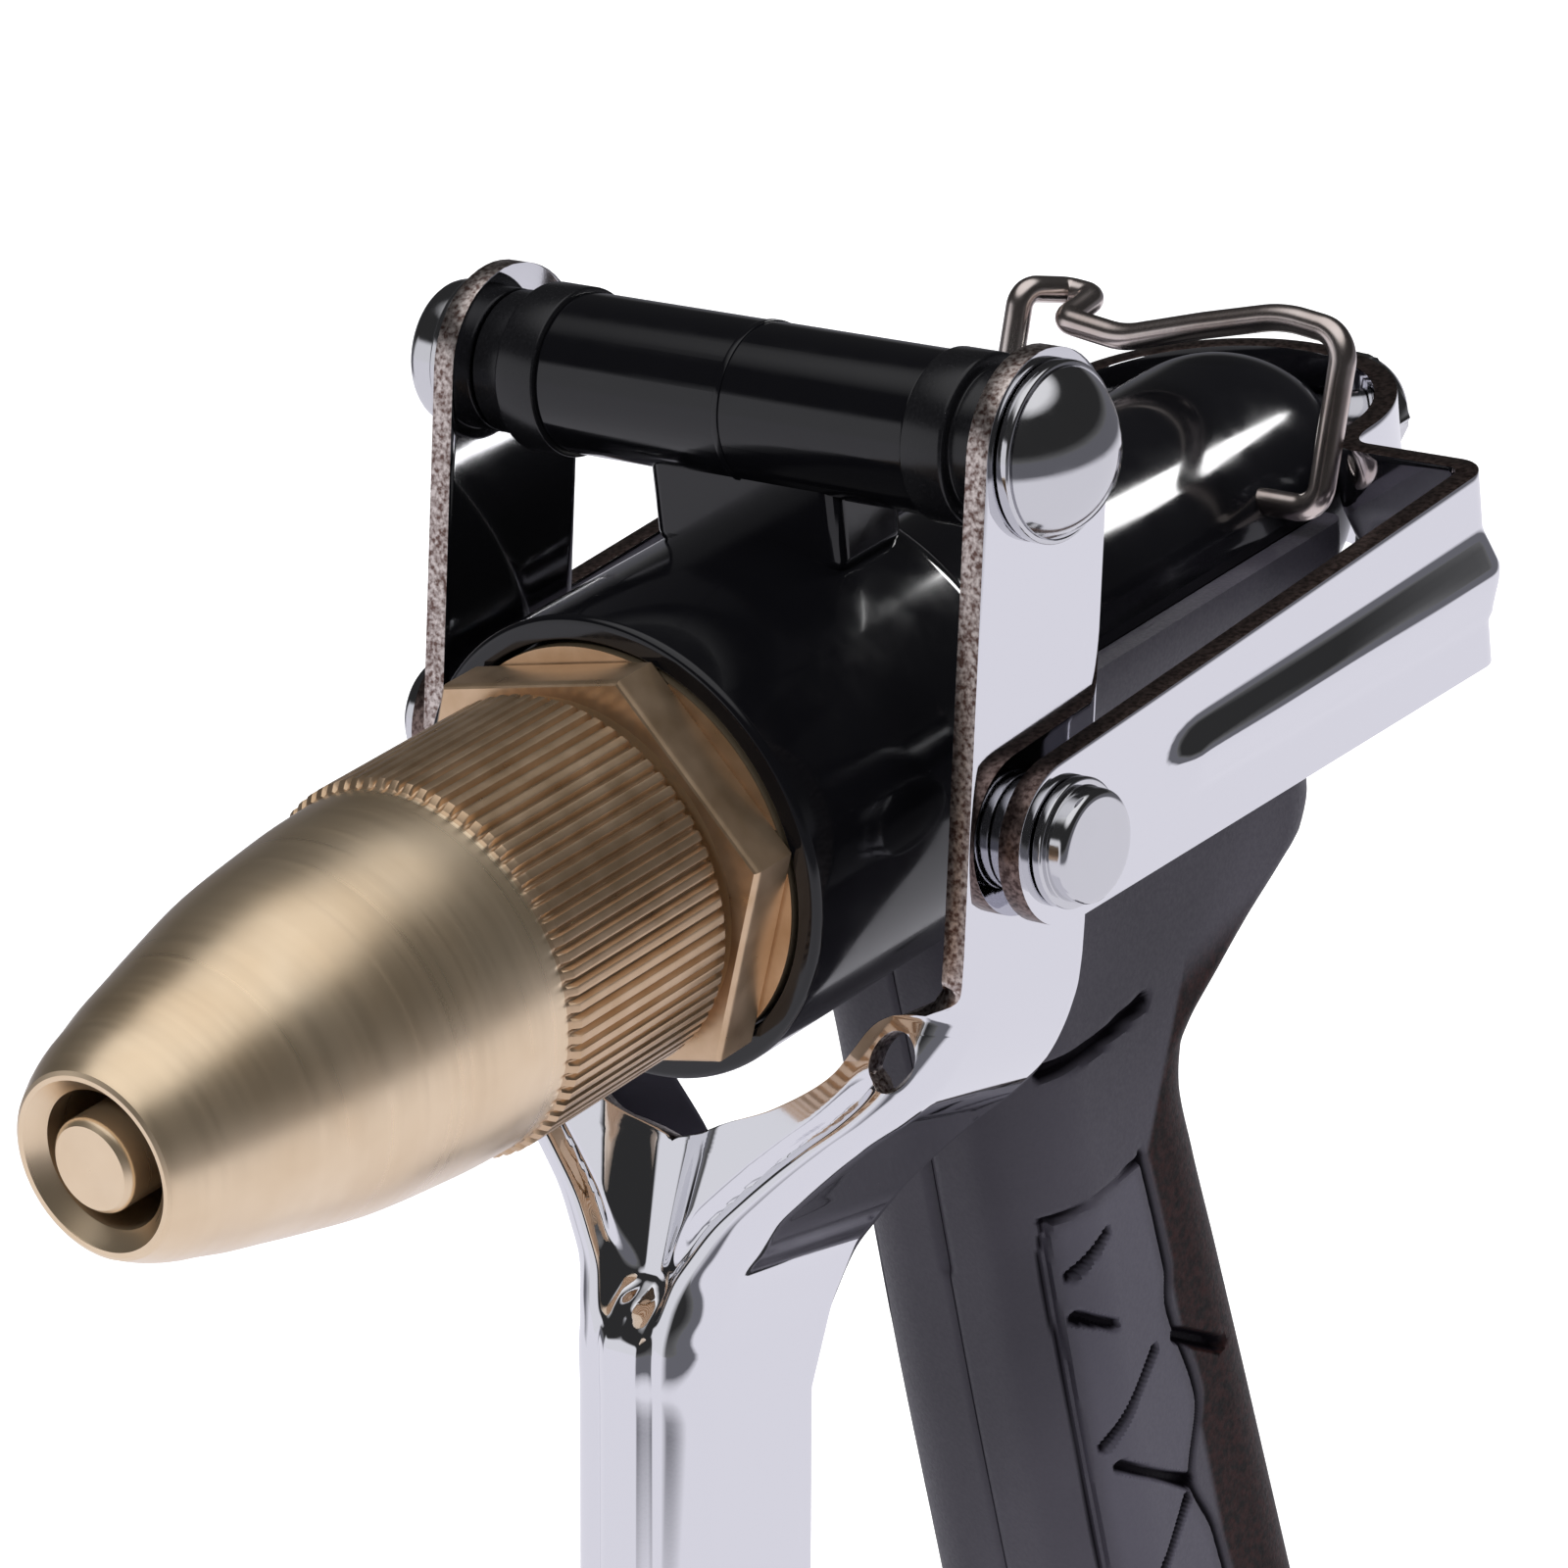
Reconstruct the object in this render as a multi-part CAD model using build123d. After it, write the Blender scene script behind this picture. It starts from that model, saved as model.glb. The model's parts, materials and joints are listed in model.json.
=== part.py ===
from build123d import *
import os
from math import cos, radians, sin, sqrt

# Pistol-grip hose spray nozzle, in millimetres.
# It is drawn about the barrel: the barrel axis is the Y axis, water leaves towards -Y,
# +Z is up and +X is the side that shows the domed pivot head. Every part is moved at export
# so that the row's origin is the centre of the hose inlet's mouth at the bottom of the handle.

# ---- driving dimensions ---------------------------------------------------------------
SHEET = 1.5            # steel sheet of the trigger and the yoke
RUN = 0.06             # running clearance on radius
CUP_R = 15.0           # front cup of the barrel
CUP_FRONT = -12.8
CUP_REAR = 9.5
BARREL_R = 9.2         # rear barrel
DOME_Y = 51.0          # centre of the round rear end
CHAMBER_R = 6.8
CHAMBER_FRONT = 4.0
CHAMBER_REAR = 46.0

KNURL_R = 12.0         # adjusting sleeve
KNURL_REAR = -17.4
KNURL_FRONT = -31.3
SLEEVE_TIP = -59.7
FLUTES = 72
FLUTE_DEPTH = 0.35
HEX_R = 13.96          # circumscribed radius of the nozzle core's hexagon
HEX_TURN = -10.6
HEX_FRONT = -16.5
HEX_REAR = -13.0

PIVOT_Y, PIVOT_Z = 5.5, 22.2       # trigger pivot
LINK_Y, LINK_Z = 0.9, -0.6         # yoke pins
PIN_R = 2.0
TUBE_R = 5.0
TUBE_HALF = 14.0
EAR_OUT = 21.0                     # outer face of the trigger's ears
EAR_HALF = 6.15
TRIGGER_LEAN = 13.0                # forward lean of the ears, degrees
LEVER_HALF = 5.0                   # half width of the finger channel
LEVER_DEPTH = 12.3
LEVER_FRONT = -10.4                # its front face, across the lever
LEVER_BACK = 0.057                 # its lean back from the ears' line
LEVER_TOP = 57.0                   # along the lever, from the pivot
LEVER_END = 118.0
WEB_TOP = -44.8

YOKE_OUT = 23.4
YOKE_REAR = 48.8
YOKE_NOSE_R = 5.1
BULGE_R = 10.9                     # inner radius of the yoke's loop round the dome
STEM_R = 2.5

BAIL_Y, BAIL_Z = 44.3, 3.0         # hinge line of the wire bail
BAIL_X = 12.8
BAIL_WIRE_R = 0.9
BAIL_LEAN = 24.0

GRIP_Y = 18.5                      # where the grip axis meets the barrel axis
GRIP_LEAN = 9.0                    # rearward lean of the grip, degrees
GRIP_HALF = 8.8
SADDLE_R = 11.0
SADDLE_REAR = 46.4
GRIP_END = 100.8                   # along the grip axis, from the barrel axis
INLET_END = 118.0
PIPE_R = 4.8
PIPE_BORE = 3.4
WALL = 2.2
THREAD_R = 12.2                    # crest radius of the 3/4 inch hose thread
THREAD_TOP = 107.0
WASHER_R = 11.9
ADAPTER_R = 15.5

GRIP_DIR = Vector(0, sin(radians(GRIP_LEAN)), -cos(radians(GRIP_LEAN)))
INLET = Vector(0, GRIP_Y, 0) + GRIP_DIR * INLET_END


# ---- helpers --------------------------------------------------------------------------
def rod_y(r, y0, y1, x=0.0, z=0.0):
    """Cylinder along Y between two Y values."""
    plane = Plane(origin=(x, y0, z), z_dir=(0, 1, 0))
    return plane * Cylinder(r, y1 - y0, align=(Align.CENTER, Align.CENTER, Align.MIN))


def rod_x(r, x0, x1, y, z):
    """Cylinder along X between two X values."""
    plane = Plane(origin=(x0, y, z), z_dir=(1, 0, 0))
    return plane * Cylinder(r, x1 - x0, align=(Align.CENTER, Align.CENTER, Align.MIN))


def rod_grip(r, s0, s1):
    """Cylinder along the grip axis, s measured down from the barrel axis."""
    plane = Plane(origin=Vector(0, GRIP_Y, 0) + GRIP_DIR * s0, z_dir=GRIP_DIR)
    return plane * Cylinder(r, s1 - s0, align=(Align.CENTER, Align.CENTER, Align.MIN))


def turned(points):
    """Solid of revolution about the Y axis from (y, r) points; the axis closes it."""
    profile = [(0, points[0][0])] + [(r, y) for y, r in points] + [(0, points[-1][0])]
    return revolve(make_face(Polyline(*profile, close=True)), Axis.Y)


def ring_y(major, minor, y):
    """O-ring about the Y axis."""
    return Plane(origin=(0, y, 0), z_dir=(0, 1, 0)) * Torus(major, minor)


def side_plate(points, x0, x1):
    """Plate between two X values from a (y, z) outline."""
    face = Plane.YZ.offset(x0) * make_face(Polyline(*points, close=True))
    return extrude(face, x1 - x0, dir=(1, 0, 0))


def both_sides(part):
    """The part and its mirror image across the middle plane."""
    return Compound(children=[part, mirror(part, Plane.YZ)])


# ---- barrel ---------------------------------------------------------------------------
def barrel_body():
    dome = [(DOME_Y + BARREL_R * sin(radians(a)), BARREL_R * cos(radians(a))) for a in range(0, 90, 10)]
    outline = [
        (CUP_FRONT, CUP_R - 0.9),
        (CUP_FRONT + 0.9, CUP_R),
        (CUP_REAR, CUP_R),
        (CUP_REAR + 4.0, BARREL_R),
    ]
    body = turned(outline + dome + [(DOME_Y + BARREL_R, 2.6)])
    post = Pos(0, PIVOT_Y, 0) * Box(14.4, 6.8, PIVOT_Z, align=(Align.CENTER, Align.CENTER, Align.MIN))
    body += post
    body += rod_x(TUBE_R, -TUBE_HALF, TUBE_HALF, PIVOT_Y, PIVOT_Z)
    body += rod_grip(6.4, 2.0, 18.0)
    body -= rod_x(3.2, -TUBE_HALF, TUBE_HALF, PIVOT_Y, PIVOT_Z)
    body -= rod_y(CHAMBER_R, CHAMBER_FRONT, CHAMBER_REAR)
    body -= rod_y(9.0, -9.0, CHAMBER_FRONT)
    body -= rod_y(12.6, -10.1, -9.0)
    body -= rod_y(13.4, CUP_FRONT - 1, -10.1)
    body -= rod_y(5.0, CHAMBER_REAR, CHAMBER_REAR + 2.2)
    body -= rod_y(STEM_R + 0.1, CHAMBER_REAR, DOME_Y + BARREL_R + 1)
    body -= rod_grip(PIPE_BORE, 1.0, 12.0)
    body -= rod_grip(PIPE_R, 10.0, 19.0)
    for side in (-1, 1):
        x0, x1 = sorted((side * 7.2, side * 10.0))
        body -= rod_x(BAIL_WIRE_R + RUN, x0, x1, BAIL_Y, BAIL_Z)
    return body


def nozzle_core():
    hexagon = Plane(origin=(0, HEX_FRONT, 0), x_dir=(1, 0, 0), z_dir=(0, 1, 0))
    nut = extrude(hexagon * Rot(0, 0, HEX_TURN) * RegularPolygon(HEX_R, 6), HEX_REAR - HEX_FRONT)
    nut &= turned([(HEX_FRONT, HEX_R - 1.0), (HEX_FRONT + 0.8, HEX_R), (HEX_REAR, HEX_R)])
    body = nut + rod_y(13.1, HEX_REAR, -11.7)
    body += rod_y(9.0, -11.7, 3.5)
    body += rod_y(8.6, -26.0, HEX_FRONT)
    body += rod_y(7.5, -34.0, -26.0)
    body += turned([(-40.5, 2.9), (-39.0, 5.4), (-34.0, 5.4)])
    body += turned([(-59.9, 2.6), (-59.6, 2.9), (-54.5, 2.9), (-51.0, 3.7), (-46.0, 3.7), (-43.0, 2.9), (-39.0, 2.9)])
    body -= rod_y(3.2, -37.0, 3.6)
    ports = [Rot(0, 90 * i + 45, 0) * Pos(0, -36.0, 0) * Cylinder(1.2, 8.0,
             align=(Align.CENTER, Align.CENTER, Align.MIN)) for i in range(4)]
    for port in ports:
        body -= port
    return body


def spray_sleeve():
    outer = [
        (SLEEVE_TIP, 5.66), (-58.3, 6.45), (-56.7, 7.1), (-55.3, 7.5), (-53.4, 8.1), (-51.0, 8.7),
        (-48.0, 9.45), (-43.0, 10.55), (-38.4, 11.1), (-35.0, 11.4), (-32.2, 11.5), (KNURL_FRONT, 12.0),
        (KNURL_REAR - 0.5, 12.0), (KNURL_REAR, 11.6),
    ]
    sleeve = turned(outer)
    hollow = [
        (SLEEVE_TIP - 0.01, 5.1), (-58.6, 4.2), (-55.6, 4.2), (-47.0, 7.58), (-27.0, 7.58), (-27.0, 8.68),
        (KNURL_REAR + 0.1, 8.68),
    ]
    sleeve -= turned(hollow)
    sleeve -= rod_y(10.7, -21.8, -19.2)
    flute = Pos(0, (KNURL_FRONT + KNURL_REAR) / 2, KNURL_R + 0.1) * Box(0.5, KNURL_REAR - KNURL_FRONT + 2, 0.9)
    for i in range(FLUTES):
        sleeve -= Rot(0, 360 / FLUTES * i, 0) * flute
    return sleeve


# ---- valve ----------------------------------------------------------------------------
def valve_stem():
    stem = rod_y(STEM_R, 1.5, 67.5)
    return stem + rod_y(5.6, 5.7, 7.6)


def valve_plug():
    return rod_y(5.4, 3.55, 5.7) - rod_y(STEM_R, 3, 6)


def return_spring():
    """Compression spring between the stem's collar and the rear gland."""
    coils, wire, mean = 9, 0.6, 4.4
    y0, y1 = 7.6 + wire, 40.0 - wire
    path = Helix(pitch=(y1 - y0) / coils, height=y1 - y0, radius=mean)
    section = Plane(origin=path @ 0, z_dir=path % 0) * Circle(wire)
    coil = sweep(section, path=path)
    return Plane(origin=(0, y0, 0), z_dir=(0, 1, 0)) * coil


def stem_nut():
    nut = extrude(Plane(origin=(0, 64.6, 0), z_dir=(0, 1, 0)) * RegularPolygon(4.6, 6), 3.4)
    nut += turned([(68.0, 4.0), (69.2, 3.4), (70.2, 2.2), (70.6, 1.0)])
    return nut - rod_y(STEM_R, 64, 67.5)


# ---- trigger linkage ------------------------------------------------------------------
def lever_point(across, along):
    """(y, z) of a point of the lever: across it towards the grip, and along it down from the pivot."""
    a = radians(TRIGGER_LEAN)
    return (PIVOT_Y - along * sin(a) + across * cos(a), PIVOT_Z - along * cos(a) - across * sin(a))


def lever_drift(along):
    """How far the finger channel leans back from the line of the ears."""
    return LEVER_BACK * (along - LEVER_TOP)


def sideways(points, distance):
    """Points of a curve moved sideways by a distance, for the inner face of the sheet."""
    moved = []
    for i, (x, y) in enumerate(points):
        x0, y0 = points[max(i - 1, 0)]
        x1, y1 = points[min(i + 1, len(points) - 1)]
        length = sqrt((x1 - x0) ** 2 + (y1 - y0) ** 2)
        moved.append((x + (y1 - y0) / length * distance, y - (x1 - x0) / length * distance))
    return moved


def trigger():
    """Stamped channel lever: two ears, an S bend inwards and a finger channel below."""
    bend = [(EAR_OUT, -30.0), (20.3, -35.0), (18.3, -39.0), (14.2, -43.0), (10.0, -47.0), (6.9, -51.0),
            (LEVER_HALF, -LEVER_TOP)]
    inside = sideways(bend, SHEET)
    inside[0] = (EAR_OUT - SHEET, -30.0)
    inside[-1] = (LEVER_HALF - SHEET, -LEVER_TOP)
    down = [(0, -1), (0, -1)]
    half = make_face([
        Line((EAR_OUT, 0), bend[0]),
        Spline(*bend, tangents=down),
        Line(bend[-1], (LEVER_HALF, -LEVER_END)),
        Line((LEVER_HALF, -LEVER_END), (LEVER_HALF - SHEET, -LEVER_END)),
        Line((LEVER_HALF - SHEET, -LEVER_END), inside[-1]),
        Spline(*inside, tangents=down),
        Line(inside[0], (EAR_OUT - SHEET, 0)),
        Line((EAR_OUT - SHEET, 0), (EAR_OUT, 0)),
    ])
    a = radians(TRIGGER_LEAN)
    plane = Plane(origin=(0, PIVOT_Y, PIVOT_Z), x_dir=(1, 0, 0), z_dir=(0, -cos(a), sin(a)))
    flange = extrude(plane * half, 18, both=True) & side_plate(flange_outline(), 0, EAR_OUT + 1)
    flange += rod_x(EAR_HALF, EAR_OUT - SHEET, EAR_OUT, PIVOT_Y, PIVOT_Z)
    middle = [(x - 0.3, z) for x, z in bend[1:]]
    web_face = make_face([
        Line((0, WEB_TOP), (0, -LEVER_END)),
        Line((0, -LEVER_END), (middle[-1][0], -LEVER_END)),
        Line((middle[-1][0], -LEVER_END), middle[-1]),
        Spline(*reversed(middle), tangents=[(0, 1), (-0.3, 1)]),
        Spline(middle[0], (12.5, -38.6), (8.2, -41.4), (0, WEB_TOP), tangents=[(-0.4, -1), (-1, 0)]),
    ])
    web = extrude(plane * web_face, 18, both=True) & web_sheet()
    side = flange + web
    body = side + mirror(side, Plane.YZ)
    body -= rod_x(PIN_R + RUN, -30, 30, PIVOT_Y, PIVOT_Z)
    return body - rod_x(PIN_R, -30, 30, LINK_Y, LINK_Z)


def front_line(along):
    """Front face of the channel, across the lever, at a distance along it."""
    if along <= 34:
        return -EAR_HALF
    if along >= LEVER_TOP:
        return LEVER_FRONT + lever_drift(along)
    share = (along - 34) / (LEVER_TOP - 34)
    return -EAR_HALF + (LEVER_FRONT + EAR_HALF) * share


def flange_outline():
    """Side outline of the flanges as (y, z) points: ears at the top and channel below."""
    front = [(front_line(s), s) for s in (0, 34, LEVER_TOP, LEVER_END)]
    rear = [(LEVER_FRONT + LEVER_DEPTH + lever_drift(s), s) for s in (LEVER_END, 61.5)]
    rear += [(EAR_HALF, 49.5), (EAR_HALF, 0)]
    return [lever_point(across, along) for across, along in front + rear]


def web_sheet():
    """Sheet of the channel's front wall, as a plate across the whole width."""
    levels = (30, 34, LEVER_TOP, LEVER_END + 1)
    outside = [lever_point(front_line(s), s) for s in levels]
    inside = [lever_point(front_line(s) + SHEET, s) for s in reversed(levels)]
    return side_plate(outside + inside, -EAR_OUT, EAR_OUT)


def trigger_pivot_pin():
    """Rivet through cross tube and ears, with the domed head on the +X side."""
    height, base = 3.0, 5.2
    ball = (height ** 2 + base ** 2) / (2 * height)
    steps = [22.0 + height * i / 8 for i in range(9)]
    dome = [(x, sqrt(max(ball ** 2 - (x - 22.0 - height + ball) ** 2, 0.0))) for x in steps[:-1]]
    pin = turned([(-23.6, PIN_R), (22.0, PIN_R)] + dome + [(steps[-1], 0.3)])
    return Pos(0, PIVOT_Y, PIVOT_Z) * Rot(0, 0, -90) * pin


def pivot_end_cap():
    cap = rod_x(4.6, -24.6, -22.05, PIVOT_Y, PIVOT_Z)
    cap = chamfer(cap.edges().sort_by(Axis.X)[0], 1.0)
    return cap - rod_x(PIN_R, -23.6, -22, PIVOT_Y, PIVOT_Z)


def pivot_washer():
    return rod_x(5.5, EAR_OUT + 0.1, 22.0, PIVOT_Y, PIVOT_Z) - rod_x(PIN_R, 20, 23, PIVOT_Y, PIVOT_Z)


def pivot_bushing():
    bush = rod_x(5.3, TUBE_HALF, 17.0, PIVOT_Y, PIVOT_Z) + rod_x(4.5, 17.0, 19.4, PIVOT_Y, PIVOT_Z)
    bush += rod_x(3.2, TUBE_HALF - 6, TUBE_HALF, PIVOT_Y, PIVOT_Z)
    return bush - rod_x(PIN_R, 5, 20, PIVOT_Y, PIVOT_Z)


def yoke():
    """Strip that runs from both ears back to the stem and loops round the barrel's end."""
    top_rear, bottom_rear = 6.2, -7.0
    nose = LINK_Y
    arm = side_plate([(nose, LINK_Z + YOKE_NOSE_R), (YOKE_REAR, top_rear), (YOKE_REAR, bottom_rear),
                      (nose, LINK_Z - YOKE_NOSE_R)], YOKE_OUT - SHEET, YOKE_OUT)
    arm += rod_x(YOKE_NOSE_R, YOKE_OUT - SHEET, YOKE_OUT, LINK_Y, LINK_Z)
    rib = side_plate([(12.5, 1.6), (YOKE_REAR - 3, 1.9), (YOKE_REAR - 3, -4.2), (12.5, -2.6)],
                     YOKE_OUT - 0.2, YOKE_OUT + 0.7)
    arm += rib
    loop_y = DOME_Y
    outer_r = BULGE_R + SHEET
    inner_cross = YOKE_REAR - SHEET
    height = top_rear - bottom_rear
    base = Plane.XY.offset(bottom_rear)
    strip = Pos(0, inner_cross + SHEET / 2, bottom_rear) * Box(
        2 * YOKE_OUT, SHEET, height, align=(Align.CENTER, Align.CENTER, Align.MIN))
    ring = Pos(0, loop_y, bottom_rear) * (
        Cylinder(outer_r, height, align=(Align.CENTER, Align.CENTER, Align.MIN))
        - Cylinder(BULGE_R, height, align=(Align.CENTER, Align.CENTER, Align.MIN)))
    behind = Pos(0, inner_cross, bottom_rear) * Box(
        60, 40, height, align=(Align.CENTER, Align.MIN, Align.MIN))
    gap = Pos(0, loop_y, bottom_rear) * Cylinder(BULGE_R, height, align=(Align.CENTER, Align.CENTER, Align.MIN))
    cross = (strip - gap) + (ring & behind)
    body = arm + mirror(arm, Plane.YZ) + cross
    corners = body.edges().filter_by(Axis.Z).filter_by(
        lambda e: abs(abs(e.center().X) - YOKE_OUT) < 0.05 and abs(e.center().Y - YOKE_REAR) < 0.05)
    body = fillet(corners, 2.4)
    body -= rod_x(PIN_R + RUN, -30, 30, LINK_Y, LINK_Z)
    return body - rod_y(STEM_R + 0.6, 50, 80)


def yoke_pin():
    pin = rod_x(PIN_R, 18.2, YOKE_OUT + 0.1, LINK_Y, LINK_Z)
    pin += rod_x(3.3, 18.2, EAR_OUT - SHEET, LINK_Y, LINK_Z)
    pin += rod_x(4.0, YOKE_OUT + 0.1, YOKE_OUT + 0.8, LINK_Y, LINK_Z)
    return pin + rod_x(3.5, YOKE_OUT + 0.8, YOKE_OUT + 2.2, LINK_Y, LINK_Z)


def yoke_spacer():
    return rod_x(3.6, EAR_OUT, YOKE_OUT - SHEET - 0.05, LINK_Y, LINK_Z) - rod_x(PIN_R, 20, 23, LINK_Y, LINK_Z)


def hold_open_bail():
    """Spring wire bail with a hairpin thumb tab on the left and a dip beside it."""
    a = radians(BAIL_LEAN)

    def at(x, t, back=0.0):
        return (x, BAIL_Y + t * sin(a) + back * cos(a), BAIL_Z + t * cos(a) - back * sin(a))

    points = [
        at(-7.5, 0), at(-BAIL_X, 0), at(-BAIL_X, 11.2), at(-11.6, 11.6, 3.6), at(-9.4, 11.4, 3.6),
        at(-9.2, 9.6, 0.2), at(-4.0, 9.0), at(1.5, 11.2), at(BAIL_X, 11.6), at(BAIL_X, 0), at(7.5, 0),
    ]
    radii = [1.6, 1.3, 0.9, 0.9, 0.9, 1.6, 3.0, 2.4, 1.6]
    path = FilletPolyline(*points, radius=radii)
    section = Plane(origin=path @ 0, z_dir=path % 0) * Circle(BAIL_WIRE_R)
    return sweep(section, path=path)


# ---- grip and inlet -------------------------------------------------------------------
GRIP_FRONT = ((11.5, 0.0), (11.5, -14.0), (13.0, -26.3), (15.6, -50.0), (18.6, -73.0), (21.9, -101.5))
GRIP_BACK = ((46.1, -97.7), (41.9, -76.0), (35.9, -46.0), (33.4, -33.0), (35.4, -28.5), (43.0, -24.0))
GRIP_BEAK = ((49.4, -20.6), (50.4, -18.4), (50.0, 0.0))


def inset(points, distance):
    """Closed outline with every edge moved inwards by the distance."""
    moved = []
    for i, here in enumerate(points):
        before, after = Vector(*points[i - 1]), Vector(*points[(i + 1) % len(points)])
        here = Vector(*here)
        d0, d1 = (here - before).normalized(), (after - here).normalized()
        n0, n1 = Vector(-d0.Y, d0.X), Vector(-d1.Y, d1.X)
        moved.append(here + (n0 + n1) * (distance / (1 + n0.dot(n1))))
    return [(p.X, p.Y) for p in moved]


def grip_solid():
    """Whole grip outside: rounded bar, saddle round the lower barrel and rear beak."""
    bar = side_plate(GRIP_FRONT + GRIP_BACK + GRIP_BEAK, -GRIP_HALF, GRIP_HALF)
    edges = bar.edges().filter_by(lambda e: abs(abs(e.center().X) - GRIP_HALF) < 0.01
                                  and e.center().Z < -8 and e.center().Z > -99)
    bar = fillet(edges, 4.0)
    saddle = rod_y(SADDLE_R, 12.0, SADDLE_REAR) & (Pos(0, 30, -10) * Box(40, 80, 20.6))
    return bar + saddle


def grip_cavity():
    outline = inset(GRIP_FRONT + GRIP_BACK + GRIP_BEAK[1:], WALL)
    inner = side_plate(outline, WALL - GRIP_HALF, GRIP_HALF - WALL)
    keep = Pos(0, 30, -13) * Box(60, 120, 6)
    inner -= keep
    screws = [rod_x(3.2, -GRIP_HALF, GRIP_HALF, y, z) for y, z in SCREWS]
    for boss in screws:
        inner -= boss
    for s in (32.0, 62.0, 88.0):
        inner -= rod_grip(14, s, s + 2.4)
    return inner


SCREWS = ((39.0, -20.5), (33.6, -52.0), (39.1, -83.8))
SCREW_R = 1.5


def grip_shell(side):
    """One half of the grip; side is 1 for +X and -1 for -X."""
    body = grip_solid() - grip_cavity()
    body -= rod_y(BARREL_R, CUP_REAR, 62)
    body -= turned([(CUP_FRONT, CUP_R), (CUP_REAR, CUP_R), (CUP_REAR + 4.0, BARREL_R)])
    body -= rod_grip(6.4, 0, 18.0)
    body -= rod_grip(PIPE_R, 16.0, 92.0)
    body -= rod_grip(7.2, 90.0, 104.0)
    half = Pos(side * 20, 30, -40) * Box(40, 120, 160)
    body &= half
    for y, z in SCREWS:
        body -= rod_x(SCREW_R, -6.0, 7.0, y, z)
        body -= rod_x(2.9, -12.0, -6.0, y, z)
    return body


def handle_screw(y, z):
    return rod_x(SCREW_R, -6.0, 6.4, y, z) + rod_x(2.8, -8.0, -6.0, y, z)


def inlet_adapter():
    body = rod_grip(7.2, 90.0, 101.0) + rod_grip(ADAPTER_R, 101.0, INLET_END)
    body -= rod_grip(THREAD_R, THREAD_TOP, INLET_END + 1)
    body -= rod_grip(WASHER_R + 0.1, 104.0, INLET_END)
    body -= rod_grip(PIPE_BORE, 89.0, 105.0)
    body -= rod_grip(PIPE_R, 89.0, 98.0)
    groove = Pos(0, ADAPTER_R + 0.2, 0) * Box(1.2, 1.6, 12.0)
    frame = Plane(origin=Vector(0, GRIP_Y, 0) + GRIP_DIR * 110.5, z_dir=GRIP_DIR)
    for i in range(24):
        body -= frame * Rot(0, 0, 15 * i) * groove
    return body


def inlet_washer():
    return rod_grip(WASHER_R, 104.0, 106.7) - rod_grip(7.5, 103, 108)


def pipe_o_ring(s):
    frame = Plane(origin=Vector(0, GRIP_Y, 0) + GRIP_DIR * s, z_dir=GRIP_DIR)
    return frame * Torus(PIPE_R - 0.5, 0.5)


def inlet_pipe():
    pipe = rod_grip(PIPE_R, 10.0, 98.0) - rod_grip(PIPE_BORE, 9.0, 99.0)
    for s in (14.0, 94.5):
        pipe -= rod_grip(PIPE_R + 1, s - 0.6, s + 0.6) - rod_grip(PIPE_R - 1.0, s - 1, s + 1)
    return pipe


PARTS = {
    "barrel_body": barrel_body(),
    "nozzle_core": nozzle_core(),
    "core_gasket": rod_y(12.5, -11.6, -10.2) - rod_y(9.0, -12, -10),
    "spray_sleeve": spray_sleeve(),
    "sleeve_o_ring": ring_y(9.65, 0.98, -20.5),
    "valve_stem": valve_stem(),
    "valve_plug": valve_plug(),
    "return_spring": return_spring(),
    "stem_gland": rod_y(CHAMBER_R, 40.0, CHAMBER_REAR) - rod_y(STEM_R + RUN, 39, 47),
    "gland_o_ring": ring_y(3.6, 1.0, CHAMBER_REAR + 1.1),
    "stem_washer": rod_y(5.0, 63.8, 64.6) - rod_y(STEM_R, 63, 65),
    "stem_nut": stem_nut(),
    "trigger": trigger(),
    "trigger_pivot_pin": trigger_pivot_pin(),
    "pivot_end_cap": pivot_end_cap(),
    "pivot_washers": both_sides(pivot_washer()),
    "pivot_bushings": both_sides(pivot_bushing()),
    "yoke": yoke(),
    "yoke_pins": both_sides(yoke_pin()),
    "yoke_spacers": both_sides(yoke_spacer()),
    "hold_open_bail": hold_open_bail(),
    "handle_right": grip_shell(1),
    "handle_left": grip_shell(-1),
    "handle_screws": Compound(children=[handle_screw(y, z) for y, z in SCREWS]),
    "inlet_pipe": inlet_pipe(),
    "pipe_o_rings": Compound(children=[pipe_o_ring(14.0), pipe_o_ring(94.5)]),
    "inlet_adapter": inlet_adapter(),
    "inlet_washer": inlet_washer(),
}

os.makedirs("parts", exist_ok=True)
for name, part in PARTS.items():
    export_step(part.moved(Pos(*(-INLET))), f"parts/{name}.step")
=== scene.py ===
import bmesh
import bpy
import json
import numpy as np
from math import acos, ceil, cos, hypot, pi, radians, sin, sqrt, tan
from mathutils import Matrix, Vector


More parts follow.
